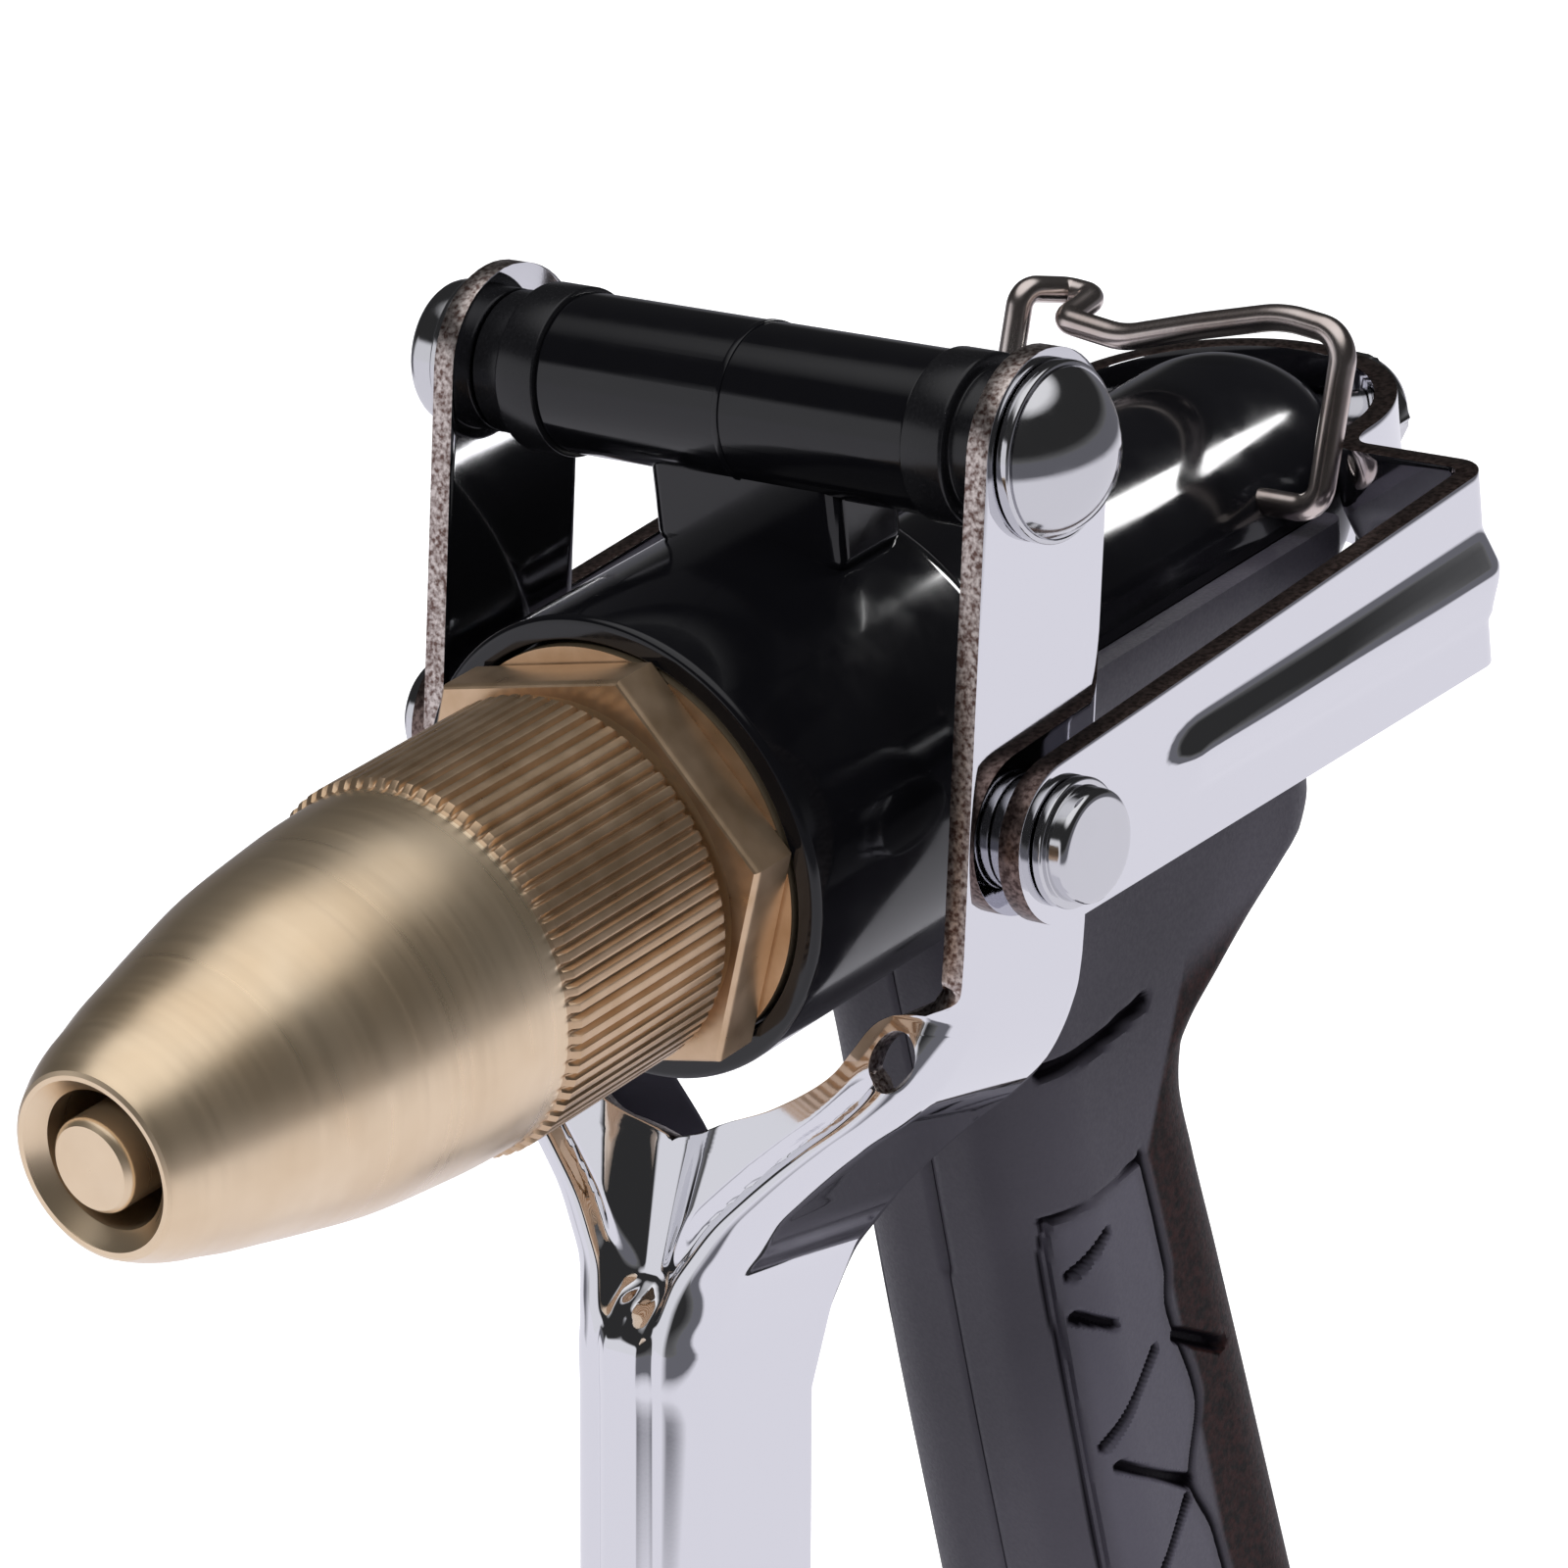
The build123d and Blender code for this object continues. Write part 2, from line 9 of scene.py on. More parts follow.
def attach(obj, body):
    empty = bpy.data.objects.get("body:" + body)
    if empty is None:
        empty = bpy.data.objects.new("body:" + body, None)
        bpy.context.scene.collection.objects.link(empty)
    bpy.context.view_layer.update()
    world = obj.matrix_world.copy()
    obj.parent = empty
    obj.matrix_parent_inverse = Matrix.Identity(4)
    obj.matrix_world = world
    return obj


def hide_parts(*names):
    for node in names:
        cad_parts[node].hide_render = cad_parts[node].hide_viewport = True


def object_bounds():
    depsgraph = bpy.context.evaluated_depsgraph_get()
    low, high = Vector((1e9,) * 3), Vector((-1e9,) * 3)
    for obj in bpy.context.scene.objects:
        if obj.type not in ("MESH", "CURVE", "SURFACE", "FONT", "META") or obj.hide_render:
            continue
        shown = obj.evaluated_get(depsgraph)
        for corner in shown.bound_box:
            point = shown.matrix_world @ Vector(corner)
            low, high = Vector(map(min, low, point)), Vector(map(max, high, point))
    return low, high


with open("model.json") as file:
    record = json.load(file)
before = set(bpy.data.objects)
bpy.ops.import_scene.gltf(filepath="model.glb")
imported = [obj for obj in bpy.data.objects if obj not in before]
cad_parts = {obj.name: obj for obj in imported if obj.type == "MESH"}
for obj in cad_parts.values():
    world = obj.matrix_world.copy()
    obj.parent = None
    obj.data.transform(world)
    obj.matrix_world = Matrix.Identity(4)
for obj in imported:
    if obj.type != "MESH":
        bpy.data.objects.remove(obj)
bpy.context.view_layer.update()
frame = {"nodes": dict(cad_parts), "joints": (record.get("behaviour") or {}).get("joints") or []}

# Shapes are drawn in millimetres about the barrel: the barrel axis is Y, water leaves towards
# -Y, +Z is up. The trigger's pivot, read from the frame, fixes where that drawing sits.
MM = 0.001
PIVOT = (5.5, 22.2)                 # where the trigger turns, as (y, z)
LINK = (0.9, -0.6)                  # the pins between trigger and yoke, as (y, z)
pivot_joint = next(j for j in frame["joints"] if j["name"] == "trigger_pivot")
ORIGIN = Vector(pivot_joint["pos_m"]) - Vector((0, *PIVOT)) * MM
SHEET = 1.5                         # thickness of the trigger's and the yoke's metal
MERGE = 0.002                       # points nearer than this are one point


# ---- curves and small maths -----------------------------------------------------------
def smooth(a, b, x):
    """0 below a, 1 above b, an S curve between."""
    t = np.clip((np.asarray(x, float) - a) / (b - a), 0, 1)
    return t * t * (3 - 2 * t)


def curve(points):
    """Monotone cubic through (x, y) points, as a function."""
    xs, ys = np.array(points, float).T
    h, d = np.diff(xs), np.diff(ys) / np.diff(xs)
    m = np.zeros(len(xs))
    m[0], m[-1] = d[0], d[-1]
    for i in range(1, len(xs) - 1):
        if d[i - 1] * d[i] > 0:
            m[i] = 2 / (1 / d[i - 1] + 1 / d[i])

    def value(x):
        x = np.clip(np.asarray(x, float), xs[0], xs[-1])
        i = np.clip(np.searchsorted(xs, x) - 1, 0, len(h) - 1)
        t = (x - xs[i]) / h[i]
        return ((2 * t**3 - 3 * t**2 + 1) * ys[i] + (t**3 - 2 * t**2 + t) * h[i] * m[i]
                + (3 * t**2 - 2 * t**3) * ys[i + 1] + (t**3 - t**2) * h[i] * m[i + 1])

    return value


def fillet_path(points, radii, step=0.25):
    """Polyline with true arcs at its corners, in steps; its straight parts are cut in spans of up to
    four steps."""
    pts = [np.array(p, float) for p in points]
    out = [pts[0]]
    for i in range(1, len(pts) - 1):
        a, b, c = pts[i - 1], pts[i], pts[i + 1]
        u, v = (a - b) / np.linalg.norm(a - b), (c - b) / np.linalg.norm(c - b)
        angle = acos(float(np.clip(u @ v, -1, 1)))
        r = radii[i - 1]
        if r < 1e-6 or abs(angle - pi) < 1e-3:
            out.append(b)
            continue
        reach = r / tan(angle / 2)
        centre = b + (u + v) / np.linalg.norm(u + v) * r / sin(angle / 2)
        p, q = b + u * reach - centre, b + v * reach - centre
        turn = pi - angle
        n = max(3, int(ceil(turn * r / step)))
        for k in range(n + 1):
            w = k / n
            out.append(centre + (sin((1 - w) * turn) * p + sin(w * turn) * q) / sin(turn))
    out.append(pts[-1])
    return resample(out, step * 4)


def resample(points, step):
    """Adds points along the straight spans of a path so that none is longer than step."""
    out = [points[0]]
    for a, b in zip(points, points[1:]):
        n = max(1, int(ceil(np.linalg.norm(b - a) / step)))
        out += [a + (b - a) * k / n for k in range(1, n + 1)]
    return out


# ---- meshes ---------------------------------------------------------------------------
def grid_faces(rows, cols, close_rows=False, close_cols=False):
    """Quads between neighbouring points of a grid stored row by row."""
    faces = []
    for i in range(rows if close_rows else rows - 1):
        for j in range(cols if close_cols else cols - 1):
            a, b = i * cols + j, i * cols + (j + 1) % cols
            c, d = ((i + 1) % rows) * cols + (j + 1) % cols, ((i + 1) % rows) * cols + j
            faces.append((a, b, c, d))
    return faces


def mesh_object(name, verts, faces):
    """Object at the barrel's origin from millimetre points, with doubled points merged."""
    mesh = bpy.data.meshes.new(name)
    mesh.from_pydata([tuple(float(c) * MM for c in v) for v in verts], [], faces)
    obj = bpy.data.objects.new(name, mesh)
    bpy.context.scene.collection.objects.link(obj)
    obj.location = ORIGIN
    bm = bmesh.new()
    bm.from_mesh(mesh)
    bmesh.ops.remove_doubles(bm, verts=bm.verts, dist=MERGE * MM)
    bmesh.ops.dissolve_degenerate(bm, dist=MERGE * MM, edges=bm.edges)
    bmesh.ops.recalc_face_normals(bm, faces=bm.faces)
    bm.to_mesh(mesh)
    bm.free()
    return obj


def apply_modifiers(obj):
    depsgraph = bpy.context.evaluated_depsgraph_get()
    mesh = bpy.data.meshes.new_from_object(obj.evaluated_get(depsgraph))
    obj.modifiers.clear()
    obj.data = mesh


def combine(obj, other, operation):
    """Boolean of obj with a helper object, which is then removed."""
    mod = obj.modifiers.new("combine", "BOOLEAN")
    mod.operation, mod.object, mod.solver = operation, other, "EXACT"
    apply_modifiers(obj)
    bpy.data.objects.remove(other)
    return obj


def bevel(obj, width, segments, angle=40):
    mod = obj.modifiers.new("bevel", "BEVEL")
    mod.width, mod.segments, mod.limit_method = width * MM, segments, "ANGLE"
    mod.angle_limit = radians(angle)
    mod.use_clamp_overlap = True
    apply_modifiers(obj)
    return obj


def finish_piece(obj, body, materials, node, sharp=32, weighted=False):
    """Smooth shading, materials, the body the piece moves with, and the CAD part it stands for hidden."""
    mesh = obj.data
    mesh.shade_smooth()
    mesh.set_sharp_from_angle(angle=radians(sharp))
    if not mesh.materials:
        for m in materials:
            mesh.materials.append(m)
    if weighted:
        mod = obj.modifiers.new("normals", "WEIGHTED_NORMAL")
        mod.keep_sharp = True
    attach(obj, body)
    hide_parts(node)


def lathe(name, profile, segments, shape=None, closed=False, axis="y", centre=(0, 0, 0), phase=0.0, tilt=0.0):
    """Turned mesh. Profile points are (along, radius); an open profile ends on the axis. A shape
    changes the radius with the angle; a tilt turns the axis about X."""
    rows = list(profile)
    if not closed:
        rows = [(rows[0][0], 0.0)] + rows + [(rows[-1][0], 0.0)]
    verts = []
    for along, radius in rows:
        for k in range(segments):
            a = phase + 2 * pi * k / segments
            r = shape(along, radius, a) if shape and radius > 0 else radius
            verts.append((r * cos(a), along, r * sin(a)))
    faces = grid_faces(len(rows), segments, close_rows=closed, close_cols=True)
    pts = np.array(verts)
    if axis == "x":
        pts = np.stack([pts[:, 1], pts[:, 0], pts[:, 2]], 1)
    if tilt:
        c, s = cos(tilt), sin(tilt)
        pts = np.stack([pts[:, 0], pts[:, 1] * c - pts[:, 2] * s, pts[:, 1] * s + pts[:, 2] * c], 1)
    return mesh_object(name, pts + np.array(centre, float), faces)


def rounded(points, radii, n=4):
    """Outline with its corners rounded; radii is one number or one per inner point."""
    if not hasattr(radii, "__len__"):
        radii = [radii] * (len(points) - 2)
    pts = [np.array(p, float) for p in points]
    out = [pts[0]]
    for i in range(1, len(pts) - 1):
        a, b, c = pts[i - 1], pts[i], pts[i + 1]
        la, lc = np.linalg.norm(a - b), np.linalg.norm(c - b)
        u, v = (a - b) / la, (c - b) / lc
        reach = min(radii[i - 1], la * 0.48, lc * 0.48)
        if reach < 1e-4:
            out.append(b)
            continue
        for k in range(n + 1):
            t = k / n
            out.append((1 - t) ** 2 * (b + u * reach) + 2 * t * (1 - t) * b + t**2 * (b + v * reach))
    out.append(pts[-1])
    return [tuple(p) for p in out]


def across(name, profile, segments, at, **options):
    """Turned about an axis along X, through a (y, z) place."""
    return lathe(name, profile, segments, axis="x", centre=(0, *at), **options)


def rod(name, r, x0, x1, at):
    """Round bar along X."""
    return across(name, [(x0, r), (x1, r)], 64, at)


def disc_ring(name, r_in, r_out, x0, x1, at, edge):
    """Flat washer about an axis along X, with its outer rims eased."""
    start = (x0, (r_in + r_out) / 2)
    pts = [start, (x0, r_out), (x1, r_out), (x1, r_in), (x0, r_in), start]
    profile = rounded(pts, [edge, edge, 0.05, 0.05])[:-1]
    return across(name, profile, 72, at, closed=True)


def joined(name, objects):
    """One object from several."""
    keep = objects[0]
    with bpy.context.temp_override(active_object=keep, object=keep, selected_editable_objects=objects,
                                   selected_objects=objects):
        bpy.ops.object.join()
    keep.name = name
    keep.data.name = name
    return keep


# ---- materials ------------------------------------------------------------------------
def material(name, colour, metallic=0.0, roughness=0.4, ior=1.45, coat=0.0, anisotropic=0.0):
    mat = bpy.data.materials.new(name)
    mat.use_nodes = True
    values = {"Base Color": (*colour, 1), "Metallic": metallic, "Roughness": roughness, "IOR": ior,
              "Coat Weight": coat, "Coat Roughness": 0.05, "Anisotropic": anisotropic}
    for key, value in values.items():
        mat.node_tree.nodes["Principled BSDF"].inputs[key].default_value = value
    return mat


class Net:
    """Short way to add nodes to a material or to the world."""

    def __init__(self, owner):
        self.tree = owner.node_tree
        self.shader = self.tree.nodes.get("Principled BSDF")

    def node(self, kind, **values):
        n = self.tree.nodes.new("ShaderNode" + kind)
        for key, value in values.items():
            if hasattr(n, key):
                setattr(n, key, value)
            else:
                n.inputs[key.replace("_", " ")].default_value = value
        return n

    def link(self, a, b):
        self.tree.links.new(a, b)

    def position(self):
        return self.node("TexCoord").outputs["Object"]

    def noise(self, scale, detail=3.0, stretch=(1, 1, 1), vector=None, rough=0.5):
        mapping = self.node("Mapping")
        mapping.inputs["Scale"].default_value = stretch
        self.link(vector or self.position(), mapping.inputs["Vector"])
        n = self.node("TexNoise", Scale=scale, Detail=detail, Roughness=rough)
        self.link(mapping.outputs["Vector"], n.inputs["Vector"])
        return n.outputs["Fac"]

    def maths(self, operation, a, b):
        n = self.node("Math", operation=operation)
        self.link(a, n.inputs[0])
        self.link(b, n.inputs[1])
        return n.outputs[0]

    def vector(self, operation, value, result):
        n = self.node("VectorMath", operation=operation)
        self.link(value, n.inputs[0])
        return n.outputs[result]

    def split(self, value):
        n = self.node("SeparateXYZ")
        self.link(value, n.inputs[0])
        return n.outputs

    def merged(self, *values):
        n = self.node("CombineXYZ")
        for value, socket in zip(values, n.inputs):
            self.link(value, socket)
        return n.outputs[0]

    def around(self, axis="y"):
        """Coordinates (angle, along, radius) about an axis of the object."""
        place = self.split(self.position())
        a, along, b = (place[k] for k in {"y": "XYZ", "x": "YXZ"}[axis])
        radius = self.vector("LENGTH", self.merged(a, b), "Value")
        return self.merged(self.maths("ARCTAN2", a, b), along, radius)

    def towards(self, value, direction):
        """How far a vector points along a direction."""
        n = self.node("VectorMath", operation="DOT_PRODUCT")
        self.link(value, n.inputs[0])
        n.inputs[1].default_value = direction
        return n.outputs["Value"]

    def ramp(self, value, stops):
        ramp = self.node("ValToRGB")
        while len(ramp.color_ramp.elements) < len(stops):
            ramp.color_ramp.elements.new(0.5)
        for element, (at, colour) in zip(ramp.color_ramp.elements, stops):
            element.position = at
            element.color = (*colour, 1) if len(colour) == 3 else colour
        self.link(value, ramp.inputs[0])
        return ramp.outputs["Color"]

    def attribute(self, name):
        return self.node("Attribute", attribute_name=name).outputs["Fac"]

    def mixed(self, factor, a, b):
        """Colour a where the factor is 0, b where it is 1; b may be a plain colour."""
        mix = self.node("Mix", data_type="RGBA")
        self.link(factor, mix.inputs["Factor"])
        self.link(a, mix.inputs["A"])
        if isinstance(b, tuple):
            mix.inputs["B"].default_value = b
        else:
            self.link(b, mix.inputs["B"])
        return mix.outputs["Result"]

    def tone(self, value, dark, light, a=0.3, b=0.7):
        """Base colour from dark to light while the value runs from a to b."""
        self.set("Base Color", self.ramp(value, [(a, dark), (b, light)]))

    def rough(self, value, low, high):
        self.set("Roughness", self.scaled(value, low, high))

    def scaled(self, value, low, high, a=0.3, b=0.7):
        """Runs from low to high while the value runs from a to b."""
        m = self.node("MapRange")
        for key, v in zip(("From Min", "From Max", "To Min", "To Max"), (a, b, low, high)):
            m.inputs[key].default_value = v
        self.link(value, m.inputs["Value"])
        return m.outputs["Result"]

    def bump(self, value, distance, strength, onto=None):
        """Relief of that many millimetres, on top of an earlier bump if one is given."""
        b = self.node("Bump", Distance=distance * MM, Strength=strength)
        self.link(value, b.inputs["Height"])
        if onto is not None:
            self.link(onto, b.inputs["Normal"])
        self.set("Normal", b.outputs["Normal"])
        return b.outputs["Normal"]

    def set(self, name, value):
        self.link(value, self.shader.inputs[name])


CARD_SIDE = (-0.60, -0.80, 0.0)     # where the low white card stands, front left


def brass_material():
    mat = material("turned_brass", (0.85, 0.66, 0.43), 0.92, 0.32, coat=0.6, anisotropic=0.4)
    net = Net(mat)
    net.shader.inputs["Coat IOR"].default_value = 1.9
    net.shader.inputs["Coat Roughness"].default_value = 0.28
    tangent = net.node("Tangent", direction_type="RADIAL", axis="Y")
    net.set("Tangent", tangent.outputs[0])
    turn = net.around()
    fine = net.noise(1.0, 2.0, (0.12, 9000, 9000), turn)
    broad = net.noise(1.0, 2.0, (0.2, 1700, 1700), turn)
    net.tone(net.noise(160, 3.0), (0.80, 0.605, 0.385), (0.90, 0.715, 0.490))
    net.rough(broad, 0.27, 0.35)
    net.bump(broad, 0.0026, 0.6, net.bump(fine, 0.0032, 0.8))
    return mat


# The knurled brass is the turned brass made darker: painted shade for the knurl's flutes and the dark room
# they mirror. The nut's flats get it too.
def knurl_material():
    mat = material("knurled_brass_painted_shade", (0.50, 0.34, 0.21), 0.9, 0.36)
    net = Net(mat)
    tone = net.noise(420, 3.0)
    net.tone(tone, (0.56, 0.385, 0.235), (0.70, 0.51, 0.34))
    net.rough(tone, 0.27, 0.36)
    return mat


def chrome_material():
    mat = material("mirror_chrome", (0.78, 0.78, 0.81), 1.0, 0.035)
    net = Net(mat)
    net.rough(net.noise(90, 4.0), 0.02, 0.075)
    net.bump(net.noise(60, 1.0), 0.02, 0.35, net.bump(net.noise(5200, 2.0), 0.0006, 0.5))
    return mat


def raw_edge_material(name, dark, light):
    mat = material(name, (0.36, 0.27, 0.24), 1.0, 0.34)
    net = Net(mat)
    streaks = net.noise(3000, 3.0)
    net.tone(streaks, dark, light, 0.36, 0.64)
    net.bump(streaks, 0.02, 0.6)
    return mat


def coating_material():
    mat = material("black_gloss_coating", (0.0035, 0.0035, 0.0045), 0.0, 0.11, ior=1.42, coat=0.15)
    net = Net(mat)
    net.rough(net.noise(400, 3.0), 0.08, 0.16)
    net.bump(net.noise(900, 2.0), 0.003, 0.4, net.bump(net.noise(140, 1.0), 0.010, 0.3))
    return mat


def grip_material():
    """Grained dark grey; near-black on the back with reddish blotches as painted glints, and black in the
    grooves as painted shade.
    """
    mat = material("grip_plastic", (0.052, 0.047, 0.062), 0.0, 0.50)
    net = Net(mat)
    grain = net.noise(3600, 3.0, rough=0.6)
    blotch = net.noise(1500, 4.0, rough=0.7)
    side = net.ramp(net.noise(70, 2.0), [(0.3, (0.045, 0.041, 0.054)), (0.7, (0.059, 0.054, 0.070))])
    # The back is near-black; its reddish blotches are painted glints, a painted reflection.
    rear = net.ramp(blotch, [(0.38, (0.005, 0.004, 0.004)), (0.62, (0.030, 0.011, 0.010))])
    with_pads = net.mixed(net.attribute("pad"), side, (0.080, 0.075, 0.098, 1))
    with_rear = net.mixed(net.attribute("rear"), with_pads, rear)
    # The grooves are painted near-black: painted shade in the recesses.
    net.set("Base Color", net.mixed(net.attribute("groove"), with_rear, (0.005, 0.004, 0.006, 1)))
    net.rough(grain, 0.44, 0.60)
    # The back and the grooves get little specular, so their painted glints and painted shade stand in for
    # what they would reflect.
    rear_matte = net.scaled(net.attribute("rear"), 0.0, 0.8, 0.0, 1.0)
    dull = net.maths("MAXIMUM", net.attribute("groove"), rear_matte)
    net.set("Specular IOR Level", net.scaled(dull, 0.5, 0.04, 0.0, 1.0))
    net.bump(grain, 0.035, 0.6)
    return mat


def floor_material():
    """White with soft shadows where the camera sees it. In reflections it is an even cool grey
    that falls off away from the object, except towards the card."""
    mat = material("pale_floor", (0.90, 0.90, 0.90), 0.0, 0.9)
    net = Net(mat)
    net.shader.inputs["Emission Color"].default_value = (1, 1, 1, 1)
    net.shader.inputs["Emission Strength"].default_value = 0.55
    place = net.node("NewGeometry").outputs["Position"]
    near = net.scaled(net.vector("LENGTH", place, "Value"), 1.0, 0.0, 0.37, 0.52)
    unit = net.vector("NORMALIZE", place, "Vector")
    side = net.scaled(net.towards(unit, CARD_SIDE), 0.0, 1.0, 0.80, 0.92)
    lit = net.maths("MAXIMUM", near, side)
    reflected = net.node("Emission", Strength=1.0)
    net.link(net.ramp(lit, [(0.0, (0.15, 0.15, 0.17)), (1.0, (0.84, 0.83, 0.90))]), reflected.inputs["Color"])
    mixed = net.node("MixShader")
    net.link(net.node("LightPath").outputs["Is Camera Ray"], mixed.inputs[0])
    net.link(reflected.outputs[0], mixed.inputs[1])
    net.link(net.shader.outputs[0], mixed.inputs[2])
    net.link(mixed.outputs[0], mat.node_tree.nodes["Material Output"].inputs["Surface"])
    return mat


def zinc_material():
    mat = material("bright_zinc", (0.66, 0.66, 0.68), 1.0, 0.09)
    net = Net(mat)
    net.rough(net.noise(500, 3.0), 0.05, 0.14)
    net.bump(net.noise(1.0, 2.0, (0.6, 4000, 4000), net.around("x")), 0.002, 0.5)
    return mat


def wire_material():
    mat = material("nickel_wire", (0.42, 0.36, 0.32), 1.0, 0.24)
    net = Net(mat)
    net.tone(net.noise(260, 3.0), (0.60, 0.51, 0.47), (0.80, 0.72, 0.68))
    net.bump(net.noise(2600, 2.0, (1, 0.15, 0.15)), 0.008, 0.5)
    return mat


def plain_material(name, colour, roughness, grain, depth):
    mat = material(name, colour, 0.0, roughness)
    net = Net(mat)
    value = net.noise(grain, 3.0)
    net.tone(value, [c * 0.8 for c in colour], [c * 1.25 for c in colour])
    net.rough(value, roughness * 0.85, roughness * 1.15)
    net.bump(value, depth, 0.6)
    return mat


BRASS, SHADED_KNURL, CHROME = brass_material(), knurl_material(), chrome_material()
RAW = raw_edge_material("sheared_edge", (0.16, 0.10, 0.085), (0.74, 0.66, 0.62))
# The yoke's raw edge is a darker copy of the sheared edge: painted shade, so that its rim reads as a thin
# dark line.
RAW_YOKE_SHADED = raw_edge_material("sheared_edge_yoke_painted_shade", (0.07, 0.045, 0.04), (0.26, 0.19, 0.17))
BLACK, ZINC, WIRE = coating_material(), zinc_material(), wire_material()
GRIP = grip_material()
ACETAL = plain_material("black_acetal", (0.006, 0.006, 0.007), 0.24, 5000, 0.003)
INLET_PLASTIC = plain_material("inlet_plastic", (0.014, 0.014, 0.016), 0.30, 1200, 0.02)
RUBBER = plain_material("nitrile_rubber", (0.016, 0.016, 0.017), 0.62, 2200, 0.03)
SPRING = material("spring_steel", (0.50, 0.50, 0.51), 1.0, 0.22)
Net(SPRING).bump(Net(SPRING).noise(2400, 2.0), 0.01, 0.5)


# ---- barrel ---------------------------------------------------------------------------
BARREL_R, CUP_R, DOME_START = 9.2, 15.0, 51.0
BORE_R, CUP_BORE_R, STEM_BORE_R = 6.8, 9.0, 2.65
TUBE_R, TUBE_BORE_R, TUBE_HALF = 5.0, 3.2, 14.0


def build_barrel():
    dome = [(DOME_START + BARREL_R * sin(a), BARREL_R * cos(a)) for a in np.linspace(0, radians(72), 14)]
    cup = [(-10.1, 12.7), (-10.1, 13.4), (-12.8, 13.5), (-12.8, 14.95), (9.5, CUP_R), (11.2, 12.9),
           (13.9, BARREL_R), (30.0, BARREL_R)]
    outline = rounded(cup, [0.2, 0.1, 0.55, 0.9, 1.4, 2.0], 6) + [(50.0, BARREL_R)] + dome
    outline += [(60.15, 2.9), (60.2, STEM_BORE_R), (DOME_START, STEM_BORE_R), (46.0, 5.0), (46.0, BORE_R),
                (4.0, BORE_R), (4.0, CUP_BORE_R), (-9.0, CUP_BORE_R), (-9.0, 12.6), (-10.1, 12.6)]
    outline = resample([np.array(p, float) for p in outline], 3.0)
    body = lathe("barrel_shell", outline, 160, closed=True)
    post = bevel(box("post", (-7.2, 2.1, 13.0), (7.2, 8.9, PIVOT[1])), 1.1, 4)
    ends = [(-TUBE_HALF, TUBE_BORE_R), (-TUBE_HALF, TUBE_R), (TUBE_HALF, TUBE_R), (TUBE_HALF, TUBE_BORE_R)]
    tube = across("tube", rounded(ends, 0.25), 96, PIVOT, closed=True)
    line = [(-0.22, 4.6), (-0.22, 5.09), (0.22, 5.09), (0.22, 4.6)]
    seam = across("seam", rounded(line, 0.05), 96, PIVOT)
    for piece in (post, tube, seam):
        combine(body, piece, "UNION")
    finish_piece(body, "frame", [BLACK], "barrel_body", 40, True)


def box(name, low, high):
    (x0, y0, z0), (x1, y1, z1) = low, high
    verts = [(x, y, z) for x in (x0, x1) for y in (y0, y1) for z in (z0, z1)]
    faces = [(0, 1, 3, 2), (4, 6, 7, 5), (0, 4, 5, 1), (2, 3, 7, 6), (0, 2, 6, 4), (1, 5, 7, 3)]
    return mesh_object(name, verts, faces)


# ---- brass core and sleeve ------------------------------------------------------------
HEX_R, HEX_TURN = 13.96, radians(10.6)
NUT_FRONT, NUT_REAR = -16.5, -13.0
FLUTES, FLUTE_DEPTH = 72, 0.42
KNURL_FRONT, KNURL_REAR, KNURL_R = -31.3, -17.4, 12.0
TURNED_R = 11.3                     # the knurl and the nut's flats lie outside this radius
SLEEVE_NOSE = ((-59.7, 5.66), (-58.3, 6.45), (-56.7, 7.1), (-55.3, 7.5), (-53.4, 8.1), (-51.0, 8.7),
               (-48.0, 9.45), (-43.0, 10.55), (-38.4, 11.1), (-35.0, 11.4), (-32.3, 11.5))


def six_sided(radius, angle):
    """Radius of a hexagon at an angle from one of its corners, from the radius of its corners."""
    local = (angle + pi / 6) % (pi / 3) - pi / 6
    return radius * cos(pi / 6) / cos(pi / 6 - abs(local))


def hexagon(along, radius, angle):
    """The nut's rows are hexagons; the others stay round."""
    if NUT_FRONT - 0.01 <= along <= NUT_REAR + 0.01 and radius >= 13.2:
        return six_sided(radius, angle - HEX_TURN)
    return radius


def brass_and_knurl(obj, front, rear):
    """Turned brass, with the darker knurl brass (painted shade) on the outer faces between two places along
    the barrel.
    """
    obj.data.materials.append(BRASS)
    obj.data.materials.append(SHADED_KNURL)
    for face in obj.data.polygons:
        radius = hypot(face.center.x, face.center.z) / MM
        if front < face.center.y / MM < rear and radius > TURNED_R:
            face.material_index = 1


def build_core():
    nut = [(NUT_FRONT, r) for r in (8.6, 11.4, 13.5, 13.7)] + [(-16.42, 13.84), (-16.28, 13.93)]
    nut += [(y, HEX_R) for y in (-16.1, -15.9, -13.4, -13.2)] + [(NUT_REAR, 13.8), (NUT_REAR, 13.15)]
    rear = [(-12.9, 13.15), (-11.8, 13.15), (-11.7, 13.05), (-11.7, 9.0), (3.5, 9.0), (3.5, 3.2),
            (-37.0, 3.2)]
    pin = [(-39.5, 2.9), (-43.0, 2.9), (-46.0, 3.7), (-51.0, 3.7), (-54.5, 2.9), (-59.55, 2.9), (-59.9, 2.55)]
    thread = []
    for k in range(6):
        y = -33.6 + 1.25 * k
        thread += [(y, 7.05), (y + 0.62, 7.5)]
    neck = [(-40.5, 2.95), (-39.0, 5.4), (-34.4, 5.4)] + thread + [(-26.1, 7.1), (-25.9, 8.6)]
    profile = [(-59.9, 0.0)] + rounded(pin, 0.5)[::-1] + neck + nut + rear + [(-37.0, 0.0)]
    core = lathe("brass_core", profile, 180, hexagon, phase=HEX_TURN)
    brass_and_knurl(core, -16.6, -12.95)
    finish_piece(core, "frame", [], "nozzle_core", 26, True)


